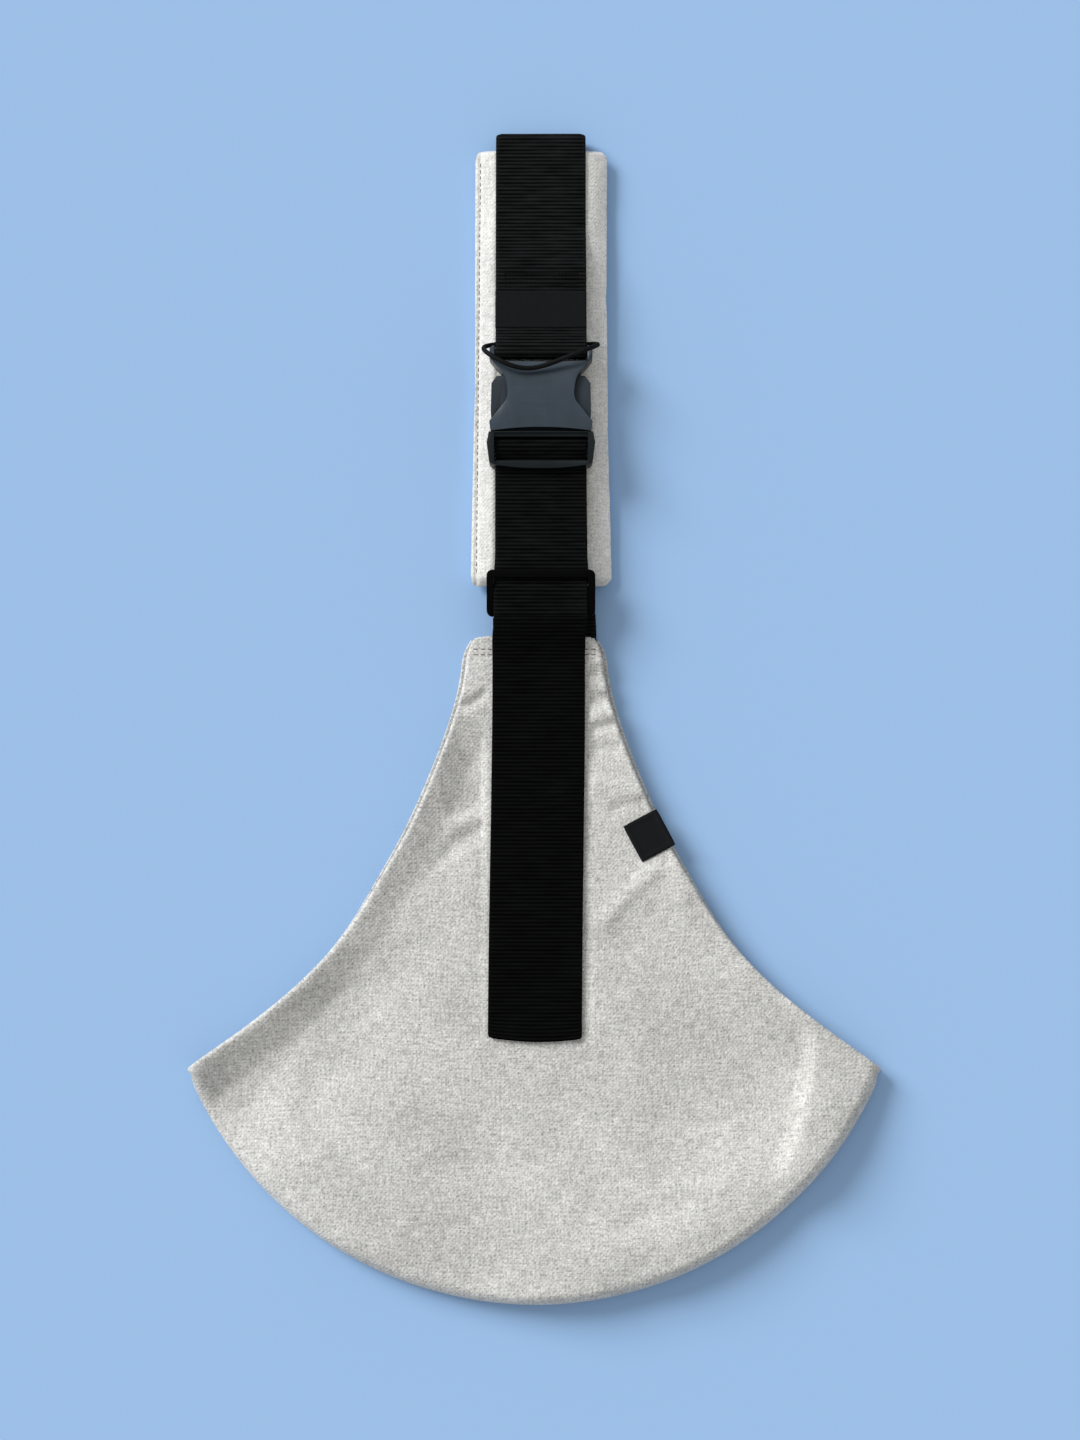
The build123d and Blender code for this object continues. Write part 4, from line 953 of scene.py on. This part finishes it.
class SLING_OT_pad(bpy.types.Operator):
    """Add the stuffed shoulder pad, swollen by a short cloth simulation, with its flat seam and thread"""

    bl_idname = "sling.pad"
    bl_label = "Shoulder Pad"

    def execute(self, context):
        colours, sizes = context.scene.sling_colours, context.scene.sling_sizes
        pad = self.slab()
        self.swell(pad, sizes.puff)
        self.shape_under_webbing(pad)
        # The pad's cloth is the seat's cotton canvas painted lighter (tint 1.23) with a softer weave contrast
        # (0.68): painted light for the brightly lit pad.
        finish = canvas_finish("cotton canvas of the pad with painted light", colours, 1.23, 0.68)
        settle(pad, finish, "canvas", ["pad_cover", "pad_foam", "pad_seam_flange"], "carrier")
        low, high = corners("pad_seam_stitches")
        y = np.linspace(low[1] - 6 * MM, high[1] + 7 * MM, 60)
        path = join(STRAP_X + (FLANGE_HIGH[0] + PAD_SEAM - STRAP_X) * pad_taper(y), y)
        row = thread_row(path, lambda x, y: pad_top(x, y) + 0.12 * MM, sizes.stitch, 2.6 * MM, 0.6 * MM)
        thread = thread_finish("light thread", colours.light_thread)
        stitch_piece("pad_seam_thread", "pad_seam_stitches", [row], thread, "thread_light")
        return {"FINISHED"}

    def slab(self):
        """A box a little inside the pad's, its corners and edges rounded by Bevel, then remeshed even."""
        inset = 0.9 * MM
        low, high = PAD_LOW + inset, PAD_HIGH - inset
        low[0] = FLANGE_LOW[0] + 0.4 * MM
        shape = bmesh.new()
        bmesh.ops.create_cube(shape, size=1.0)
        for vert in shape.verts:
            vert.co = [low[k] + (vert.co[k] + 0.5) * (high[k] - low[k]) for k in range(3)]
        upright = [e for e in shape.edges if abs((e.verts[0].co - e.verts[1].co).z) > 1e-6]
        bmesh.ops.bevel(shape, geom=upright, offset=5.0 * MM, segments=5, affect="EDGES", profile=0.5)
        rims = [e for e in shape.edges if abs((e.verts[0].co - e.verts[1].co).z) < 1e-6]
        bmesh.ops.bevel(shape, geom=rims, offset=2.2 * MM, segments=3, affect="EDGES", profile=0.5)
        mesh = bpy.data.meshes.new("pad_cushion")
        shape.to_mesh(mesh)
        shape.free()
        pad = link_piece("pad_cushion", mesh)
        even = pad.modifiers.new("even", "REMESH")
        set_all(even, mode="VOXEL", voxel_size=3.0 * MM)
        self.bake(pad)
        return pad

    def bake(self, pad):
        """Replaces the pad's mesh with what its modifiers make of it."""
        reading = bpy.context.evaluated_depsgraph_get()
        made = bpy.data.meshes.new_from_object(pad.evaluated_get(reading))
        pad.modifiers.clear()
        pad.data = made
        made.name = "pad_cushion"

    def swell(self, pad, cap):
        """Cloth with inner pressure for twenty frames; each point moves by at most cap, hardly sideways."""
        scene = bpy.context.scene
        start = get_points(pad.data)
        cloth = pad.modifiers.new("swell", "CLOTH")
        set_all(cloth.settings, quality=6, use_pressure=True, uniform_pressure_force=4.0, mass=0.3)
        set_all(cloth.settings, tension_stiffness=20, compression_stiffness=20, bending_stiffness=0.6)
        cloth.settings.effector_weights.gravity = 0
        set_all(cloth.collision_settings, use_collision=False, use_self_collision=False)
        for number in range(1, 21):
            scene.frame_set(number)
        self.bake(pad)
        scene.frame_set(1)
        if len(pad.data.vertices) != len(start):
            raise RuntimeError("the pad's points changed while it swelled")
        shift = get_points(pad.data) - start
        shift[:, :2] *= 0.12
        size = lengths(shift)[:, None]
        shift *= np.minimum(1, cap / np.maximum(size, 1e-9))
        set_points(pad.data, start + shift)
        smooth = pad.modifiers.new("smooth", "SUBSURF")
        smooth.levels = smooth.render_levels = 2
        self.bake(pad)

    def shape_under_webbing(self, pad):
        """Keeps the pad's middle below the webbing, shapes its face and lays the cloth map on it."""
        mesh = pad.data
        x, y, z = get_points(mesh).astype(float).T / MM
        normal = get_points(mesh, "normal").astype(float)
        middle = (PAD_LOW + PAD_HIGH) / 2 / MM
        y = middle[1] + (y - middle[1]) * 1.010 + 0.4
        x = np.clip(x, FLANGE_LOW[0] / MM - 0.1, PAD_HIGH[0] / MM + 0.6) - STRAP_X / MM
        x = STRAP_X / MM + x * pad_taper(y * MM)
        top = pad_top(x * MM, y * MM) / MM
        off = np.abs(x - STRAP_X / MM)
        floor = 1.45 - 1.2 * ease(26.5, 33, off) + 2.6 * (1 - ease(-35.6, -31.0, x))
        upper = ease(middle[2] - 0.5, middle[2] + 2.4, z)
        z = np.where(z > middle[2], np.minimum(z + 3.0 * upper, top), z)
        place = join(x, y, np.clip(z, floor, top)) * MM
        set_points(mesh, place)
        smooth_faces(mesh)
        # the cloth map is plain coordinates, unrolled down the sides
        level = np.hypot(normal[:, 0], normal[:, 1]) + 1e-9
        fall = (place[:, 2].max() - place[:, 2]) * np.clip(level * 1.5, 0, 1)
        lay_cloth_map(mesh, place[:, :2] + normal[:, :2] / level[:, None] * fall[:, None])


def turn_line(centre, radius, first, last):
    """Points of an arc in the Y-Z plane between two angles in degrees."""
    angle = np.radians(np.linspace(first, last, 17))
    return np.array([(centre[0] + radius * math.cos(a), centre[1] + radius * math.sin(a)) for a in angle])


def level_line(start, end, z, count):
    return join(np.linspace(start, end, count), np.full(count, z))


class SLING_OT_webbing(bpy.types.Operator):
    """Add the shoulder webbing, the stretch from slider to buckle, its root, the free tail and the tacks"""

    bl_idname = "sling.webbing"
    bl_label = "Webbing"

    def execute(self, context):
        colours, self.web = context.scene.sling_colours, context.scene.sling_sizes.web
        self.half, self.width = self.web / 2, STRAP_HIGH[0] - STRAP_LOW[0]
        finish = webbing_finish("ribbed webbing", colours)
        # The shoulder strap is the same nylon painted lighter (tint 1.85): a painted highlight.
        self.shoulder(webbing_finish("ribbed webbing of the shoulder with painted light", colours, 1.85))
        self.load(finish)
        self.root(finish)
        # The free end is the same nylon painted darker (tint 0.48): painted shade.
        self.tail(webbing_finish("ribbed webbing of the free end with painted shade", colours, 0.48))

        low, high = corners("loop_box_stitches")
        inset, top = 0.3 * MM, LOOP_Z + self.half + 0.12 * MM
        across = (low[1] + inset, (low[1] + high[1]) / 2, high[1] - inset)
        lines = [[[low[0], y], [high[0], y]] for y in across]
        lines += [[[x, low[1]], [x, high[1]]] for x in (low[0] + 0.5 * MM, high[0] - 0.5 * MM)]
        form = (lambda x, y: np.full(np.shape(x), top), 1.9 * MM, 1.8 * MM, 0.62 * MM)
        rows = [thread_row(np.array(line), *form) for line in lines]
        thread = thread_finish("dark thread", colours.dark_thread)
        stitch_piece("loop_tacks", "loop_box_stitches", rows, thread, "thread_dark")
        return {"FINISHED"}

    def strap(self, name, path, drift, narrow, lift):
        return make_strap(name, path, self.width, self.web, drift, narrow, lift)

    def put(self, strap, finish, node, body, path, held, rests_on):
        """Finish and body of one strap; its record slot and flat size are not used."""
        flat = (float(self.width), float(run_along(path)[-1]))
        settle(strap, finish, "webbing", [node], body, flat=flat, held=held, rests_on=[rests_on])

    def shoulder(self, finish):
        """From the back neck under the pad, over the fold and round the buckle's bar to the sewn loop."""
        half = self.half
        bar = (FEMALE_HIGH[1] - 3.6 * MM, (FEMALE_LOW[2] + FEMALE_HIGH[2]) / 2)
        bar_top = STRAP_HIGH[2] - half
        loop_end = FOLD_Y - 80.5 * MM
        front_z = PAD_HIGH[2] + 0.3 * MM + half
        fold = (front_z - half) / 2
        fold_y = FOLD_Y - half - fold
        sewn_z = 2.7 * MM + half
        rear = [(STRAP_LOW[1], sewn_z), (NECK_Y + 1 * MM, sewn_z), (NECK_Y + 14 * MM, half), (fold_y, half)]
        rear = rounded_line(rear, [5 * MM, 5 * MM], 1.6 * MM)
        front = [
            (fold_y, front_z), (loop_end + 22 * MM, front_z), (loop_end + 2 * MM, LOOP_Z),
            (BAND_LOW[1] - 1 * MM, LOOP_Z), (bar[0] + 4 * MM, bar_top), (bar[0], bar_top),
        ]
        front = rounded_line(front, [6 * MM, 6 * MM, 4 * MM, 3 * MM], 1.6 * MM)
        over = turn_line((fold_y, half + fold), fold, -90, 90)
        loop_radius = bar_top - bar[1]
        loop = turn_line(bar, loop_radius, 90, 270)
        under = level_line(bar[0], loop_end, bar[1] - loop_radius, 30)
        path = np.concatenate([rear[:-1], over[:-1], front[:-1], loop[:-1], under])
        my = path[:, 0] / MM
        low_part = np.arange(len(path)) < len(rear)
        drift = STRAP_X + 5.4 * MM * (1 - ease(38, 105, my)) * low_part
        drift = drift + 0.25 * MM * soft_noise(my, 0 * my, 60, 61) * ~low_part
        strap = self.strap("shoulder_strap", path, drift, 1.0, self.unevenness(0.14, 62))
        self.soften_fold(strap, fold_y)
        self.put(strap, finish, "shoulder_webbing", "carrier", path, "folded", "pad_cushion")

    def load(self, finish):
        """From below the slider to the buckle, round its bar and back over the slider."""
        bar = (MALE_LOW[1] + 14.0 * MM, 17.0 * MM)
        turn = 2.5 * MM
        lower = level_line(LOAD_LOW[1], bar[0], LOAD_Z, 60)
        upper = [
            (bar[0], bar[1] + turn), (bar[0] - turn, bar[1] + turn),
            (bar[0] - turn - 6.6 * MM, RETURN_Z), (LOAD_LOW[1] + 0.3 * MM, RETURN_Z),
        ]
        upper = rounded_line(upper, [2 * MM, 3 * MM], 1.4 * MM)
        path = np.concatenate([lower[:-1], turn_line(bar, turn, -90, 90)[:-1], upper])
        top_layer = np.arange(len(path)) >= len(lower)
        my = path[:, 0] / MM
        hump_y = (SLIDER_LOW[1] + SLIDER_HIGH[1]) / 2 + 1.0 * MM
        path[:, 1] += 1.1 * MM * bell((path[:, 0] - hump_y) / (4.2 * MM)) * top_layer
        drift = STRAP_X + (0.3 * ease(120, 80, my) - 0.5 * ease(74, 58, my)) * MM * top_layer
        narrow = 1 + 0.022 * ease(80, 70, my)
        strap = self.strap("load_strap", path, drift, narrow, self.unevenness(0.10, 63))
        self.put(strap, finish, "load_webbing", "front_strap", path, "folded", "slider_body")

    def root(self, finish):
        """From the front neck to just below the slider."""
        sewn_z = ROOT_LOW[2] + self.half
        path = [
            (ROOT_LOW[1], sewn_z), (NECK_Y + 0.7 * MM, sewn_z),
            (ROOT_HIGH[1] - 2.2 * MM, LOAD_Z), (ROOT_HIGH[1], LOAD_Z),
        ]
        path = rounded_line(path, [2 * MM, 2 * MM], 1.2 * MM)
        drift = STRAP_X - 1.1 * MM * ease(25, 40, path[:, 0] / MM)
        strap = self.strap("strap_root", path, drift, 1.0, self.unevenness(0.06, 64))
        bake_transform(strap)
        self.put(strap, finish, "load_webbing_root", None, path, "gathered", "seat_front_cloth")

    def tail(self, finish):
        """The free end, from the slider down over the seat."""
        start_y, low_z = LOAD_LOW[1] + 0.25 * MM, TAIL_LOW[2] + self.half
        path = [
            (start_y, RETURN_Z), (TAIL_HIGH[1] - 4.6 * MM, RETURN_Z),
            (TAIL_HIGH[1] - 19.5 * MM, low_z), (TAIL_LOW[1], low_z),
        ]
        path = rounded_line(path, [5 * MM, 6 * MM], 1.5 * MM)
        run = (start_y - path[:, 0]) / MM
        drift = STRAP_X - 0.2 * MM - 1.0 * MM * ease(0, 14, run) - 2.0 * MM * ease(30, 230, run)
        narrow = 1.018 - 0.012 * ease(0, 30, run)
        strap = self.strap("tail_strap", path, drift, narrow, self.tail_lie)
        self.round_end(strap, float(drift[-1]))
        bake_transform(strap)
        self.put(strap, finish, "tail_webbing", None, path, "laid", "seat_front_cloth")

    def soften_fold(self, strap, fold_y):
        """Rounds the fold's corners: past its start, y reaches less far towards the strap's edges."""
        place = get_points(strap.data)
        edge = np.clip((np.abs(place[:, 0] - STRAP_X) - 21.5 * MM) / (3.5 * MM), 0, 1)
        past = np.maximum(place[:, 1] - fold_y, 0)
        place[:, 1] -= past * 0.34 * (1 - np.sqrt(1 - 0.999 * edge**2))
        set_points(strap.data, place)

    def unevenness(self, height, seed):
        """Slight waves of a strap's face, height in millimetres, the same on both of its faces."""

        def lift(x, y, run):
            calm = ease(0, 14 * MM, np.minimum(run, run[-1] - run))[:, None]
            return height * MM * soft_noise(x / MM, run[:, None] / MM + 0 * x, 26, seed) * calm

        return lift

    def tail_lie(self, x, y, run):
        """The tail keeps just over the seat, with slow waves and one long edge barely lifted."""
        run = run[:, None] / MM
        wave = 0.22 * soft_noise(x / MM, run + 0 * x, 34, 65) + 0.16
        side = 0.25 * ease(8, 25, (x - STRAP_X) / MM) * (0.5 + 0.5 * np.sin(run / 23))
        return MM * (wave + side) * ease(8, 30, run)

    def round_end(self, strap, middle):
        """Draws the tail's last stretch in to a bowed, slightly slanted end with round corners."""
        end_y, half, corner = TAIL_LOW[1], self.width / 2, 1.5 * MM
        place = get_points(strap.data)
        share = (place[:, 0] - middle) / half
        past = np.clip((np.abs(share) * half - (half - corner)) / corner, 0, 1)
        shorter = 1.6 * MM * share**2 + corner * (1 - np.sqrt(1 - np.minimum(past, 0.999) ** 2))
        shorter = shorter + 0.8 * MM * np.clip(-share, 0, 1)
        place[:, 1] += shorter * np.clip(1 - (place[:, 1] - end_y) / (16 * MM), 0, 1)
        set_points(strap.data, place)


class SLING_OT_labels(bpy.types.Operator):
    """Add the bare satin band over the webbing and the bare square tag on the right leg edge"""

    bl_idname = "sling.labels"
    bl_label = "Labels"

    def execute(self, context):
        sizes = context.scene.sling_sizes
        finish = satin_finish("black satin", context.scene.sling_colours)
        rows, columns = 24, 60
        half = (BAND_HIGH[0] - BAND_LOW[0]) / 2
        x, y = np.meshgrid(np.linspace(-half, half, columns), np.linspace(BAND_LOW[1], BAND_HIGH[1], rows))
        edge = np.minimum(y - BAND_LOW[1], BAND_HIGH[1] - y)
        z = BAND_HIGH[2] - 0.22 * MM + 0.10 * MM * bell(edge / (1.2 * MM))
        z = z + 0.04 * MM * soft_noise(x / MM, y / MM, 9, 71)
        points = join(x * 1.004 + STRAP_X, y, z)
        flat = (2 * half, float(BAND_HIGH[1] - BAND_LOW[1]))
        form = (points, points[..., :2], 0.4 * MM, finish, "label_dark")
        cloth_patch("strap_label", *form, "webbing_label", flat, "laid", "shoulder_strap")

        centre = (TAG_LOW + TAG_HIGH) / 2
        turn, wide, long, sides = math.radians(28), 20.5 * MM, 22.0 * MM, 40
        a, b = np.meshgrid(np.linspace(-wide / 2, wide / 2, sides), np.linspace(-long / 2, long / 2, sides))
        round_off = 1 - 0.02 * (2 * np.abs(a) / wide) ** 6 * (2 * np.abs(b) / long) ** 6
        a, b = a * round_off, b * round_off
        x = centre[0] + a * math.cos(turn) - b * math.sin(turn)
        y = centre[1] + a * math.sin(turn) + b * math.cos(turn)
        edge = np.minimum(wide / 2 - np.abs(a), long / 2 - np.abs(b))
        bead = 0.18 * MM * bell((edge - 1.6 * MM) / (0.8 * MM))
        points = join(x, y, front_height(x, y) + sizes.cloth / 2 + 0.35 * MM + bead)
        form = (points, join(a, b), 0.5 * MM, finish, "label_dark")
        cloth_patch("leg_tag", *form, "side_label", (wide, long), "laid", "seat_front_cloth")
        return {"FINISHED"}


class SLING_OT_elastic(bpy.types.Operator):
    """Add the braided elastic ring that keeps the buckle's two halves and the webbing together"""

    bl_idname = "sling.elastic"
    bl_label = "Elastic Ring"

    def execute(self, context):
        radius = 1.3 * MM
        side, top, back = 30.3 * MM, FEMALE_HIGH[1] + 2.6 * MM, 24.5 * MM
        low_z, side_z, high_z = 11.25 * MM, 15.2 * MM, FEMALE_HIGH[2] + 1.6 * MM
        route = [
            (0, top, low_z),
            (back, top, low_z),
            (side + 0.6 * MM, top - 1.0 * MM, side_z),
            (side - 3.6 * MM, top - 5.5 * MM, high_z - 1.1 * MM),
            (side * 0.33, top - 12.5 * MM, high_z),
            (side * -0.297, top - 17.0 * MM, high_z),
            (3.6 * MM - side, top - 10.0 * MM, high_z - 0.6 * MM),
            (-side - 0.6 * MM, top - 2.5 * MM, side_z),
            (-back, top, low_z),
            (0, top, low_z),
        ]
        around, ribs, rib_pitch = 16, 6, 2.6 * MM
        line = smooth_line(route, 300)[:-1]
        line[:, 0] += STRAP_X
        run = run_along(line)[:, None]
        ahead = np.roll(line, -1, axis=0) - np.roll(line, 1, axis=0)
        ahead /= lengths(ahead)[:, None]
        one = np.cross(ahead, (0.0, 1.0, 0.0))
        one /= lengths(one)[:, None]
        two = np.cross(ahead, one)
        turn = np.linspace(0, 2 * math.pi, around + 1)[None, :-1]
        out = one[:, None, :] * np.cos(turn)[..., None] + two[:, None, :] * np.sin(turn)[..., None]
        rib = radius * (1 + 0.03 * np.cos(ribs * turn) * np.cos(2 * math.pi * run / rib_pitch))
        flat = join(radius * turn + 0 * run, run + 0 * turn)
        faces = grid_faces(len(line), around, closed_rows=True, closed_columns=True)
        ring = outward(make_piece("elastic_ring", line[:, None, :] + rib[..., None] * out, faces, flat))
        finish = elastic_finish("braided elastic", context.scene.sling_colours)
        settle(ring, finish, "elastic", ["elastic_keeper"], "keeper")
        return {"FINISHED"}


# CAD node: name of the piece, its body and its finish.
HARDWARE = {
    "buckle_female": ("buckle_shell", "carrier", "shell"),
    "buckle_male": ("buckle_frame", "front_strap", "prongs"),
    "buckle_arm_left": ("buckle_prong_left", "arm_left", "springs"),
    "buckle_arm_right": ("buckle_prong_right", "arm_right", "springs"),
    "slider": ("slider_body", "slider", "slider"),
}


class SLING_OT_hardware(bpy.types.Operator):
    """Add the buckle's two halves, its two spring prongs and the slider, moulded with rounded edges"""

    bl_idname = "sling.hardware"
    bl_label = "Hardware"

    def execute(self, context):
        colours = context.scene.sling_colours
        finishes = {
            "shell": plastic_finish("acetal of the shell", colours.shell, 0.34),
            "prongs": plastic_finish("acetal of the frame", colours.prongs, 0.20),
            "springs": plastic_finish("acetal of the prongs", tone(colours.shell, 0.62), 0.3),
            "slider": plastic_finish("acetal of the slider", colours.slider, 0.05),
        }
        for node, (name, body, tint) in HARDWARE.items():
            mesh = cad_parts[node].data.copy()
            mesh.name = name
            shape = bmesh.new()
            shape.from_mesh(mesh)
            bmesh.ops.remove_doubles(shape, verts=shape.verts, dist=0.00001)
            bmesh.ops.dissolve_degenerate(shape, edges=shape.edges, dist=0.000005)
            flat = math.radians(1.0)
            bmesh.ops.dissolve_limit(shape, angle_limit=flat, verts=shape.verts, edges=shape.edges)
            bmesh.ops.recalc_face_normals(shape, faces=shape.faces)
            shape.to_mesh(mesh)
            shape.free()
            self.ease_corners(mesh, node)
            smooth_faces(mesh)
            piece = link_piece(name, mesh)
            edge = piece.modifiers.new("moulded edge", "BEVEL")
            set_all(edge, width=context.scene.sling_sizes.edge, segments=2, limit_method="ANGLE")
            set_all(edge, angle_limit=math.radians(32), use_clamp_overlap=True, harden_normals=True)
            settle(piece, finishes[tint], "plastic_dark", [node], body)
        return {"FINISHED"}

    def ease_corners(self, mesh, node):
        """Draws each prong's heel down along the shell's flare, and leans the frame's two top corners in.

        A heel point moves down by a line of its depth inside the shell's side, which fades up the prong."""
        place = get_points(mesh)
        inside = ((FEMALE_HIGH[0] - FEMALE_LOW[0]) / 2 - np.abs(place[:, 0] - STRAP_X)) / MM
        above = (place[:, 1] - FEMALE_LOW[1]) / MM
        if node == "buckle_male":
            top = (inside < -1.0) & (above > -2.5)
            place[:, 0] -= np.sign(place[:, 0] - STRAP_X) * 1.3 * MM * top
        elif node.startswith("buckle_arm"):
            down = np.interp(inside, [1.0, 3.9, 5.0], [3.9, 1.9, 0.0]) * (1 - ease(14, 20, above))
            place[:, 1] -= down * MM * (above > 9.0)
        set_points(mesh, place)


class SLING_OT_stage(bpy.types.Operator):
    """Set the plain floor, the soft light from the upper left, the even surround and the camera"""

    bl_idname = "sling.stage"
    bl_label = "Stage"

    def execute(self, context):
        scene = context.scene
        colours, light = scene.sling_colours, scene.sling_light
        size, floor_z = 3.0, -0.0004
        corner_points = [(x * size, y * size, floor_z) for x, y in ((-1, -1), (1, -1), (1, 1), (-1, 1))]
        board = make_piece("floor", corner_points, [[0, 1, 2, 3]])
        board.data.materials.append(floor_finish("pale board", colours))

        key = bpy.data.lights.new("key", "SUN")
        set_all(key, energy=light.key, angle=light.spread)
        lamp = bpy.data.objects.new("key", key)
        towards = np.array([-0.80, 0.60, math.tan(light.height)])
        towards /= np.linalg.norm(towards)
        lamp.location = tuple(towards * 2)
        lamp.rotation_euler = (math.acos(towards[2]), 0, math.atan2(towards[1], towards[0]) + math.pi / 2)
        scene.collection.objects.link(lamp)

        # the surround lights evenly, and shows the floor's colour to the camera
        world = bpy.data.worlds.new("surround")
        world.use_nodes = True
        tree = world.node_tree
        background = next(n for n in tree.nodes if n.type == "BACKGROUND")
        background.inputs[0].default_value = (1, 1, 1, 1)
        background.inputs[1].default_value = light.around
        seen = tree.nodes.new("ShaderNodeBackground")
        seen.inputs[0].default_value = tone(colours.floor, 1.0)
        seen.inputs[1].default_value = 1.0
        path = tree.nodes.new("ShaderNodeLightPath")
        choose = tree.nodes.new("ShaderNodeMixShader")
        output = next(n for n in tree.nodes if n.type == "OUTPUT_WORLD")
        tree.links.new(path.outputs["Is Camera Ray"], choose.inputs[0])
        tree.links.new(background.outputs[0], choose.inputs[1])
        tree.links.new(seen.outputs[0], choose.inputs[2])
        tree.links.new(choose.outputs[0], output.inputs[0])
        scene.world = world

        camera = bpy.data.cameras.new("camera")
        set_all(camera, lens=50, sensor_fit="VERTICAL", sensor_height=36)
        tilt, away = math.radians(5.4), 1088.07 * MM
        eye = bpy.data.objects.new("camera", camera)
        eye.location = (3 * MM, -9.5 * MM - away * math.sin(tilt), 8 * MM + away * math.cos(tilt))
        eye.rotation_euler = (tilt, 0, 0)
        scene.collection.objects.link(eye)
        scene.camera = eye
        scene.view_settings.view_transform = "Standard"
        return {"FINISHED"}


class SLING_PT_pieces(bpy.types.Panel):
    """Lists the sling's pieces and sizes"""

    bl_idname = "SLING_PT_pieces"
    bl_label = "Sling Carrier"
    bl_space_type = "VIEW_3D"
    bl_region_type = "UI"
    bl_category = "Sling"

    def draw(self, context):
        for operator in OPERATORS:
            self.layout.operator(operator.bl_idname)
        for group in (context.scene.sling_sizes, context.scene.sling_colours, context.scene.sling_light):
            box = self.layout.box()
            for name in group.bl_rna.properties.keys():
                if name not in ("rna_type", "name"):
                    box.prop(group, name)


OPERATORS = (
    SLING_OT_seat,
    SLING_OT_pad,
    SLING_OT_webbing,
    SLING_OT_labels,
    SLING_OT_elastic,
    SLING_OT_hardware,
    SLING_OT_stage,
)
CLASSES = (SlingSizes, SlingColours, SlingLight) + OPERATORS + (SLING_PT_pieces,)


def register():
    for cls in CLASSES:
        bpy.utils.register_class(cls)
    bpy.types.Scene.sling_sizes = bpy.props.PointerProperty(type=SlingSizes)
    bpy.types.Scene.sling_colours = bpy.props.PointerProperty(type=SlingColours)
    bpy.types.Scene.sling_light = bpy.props.PointerProperty(type=SlingLight)


def unregister():
    del bpy.types.Scene.sling_light
    del bpy.types.Scene.sling_colours
    del bpy.types.Scene.sling_sizes
    for cls in reversed(CLASSES):
        bpy.utils.unregister_class(cls)


def main():
    register()
    bpy.ops.sling.seat()
    bpy.ops.sling.pad()
    bpy.ops.sling.webbing()
    bpy.ops.sling.labels()
    bpy.ops.sling.elastic()
    bpy.ops.sling.hardware()
    bpy.ops.sling.stage()


if __name__ == "__main__":
    main()
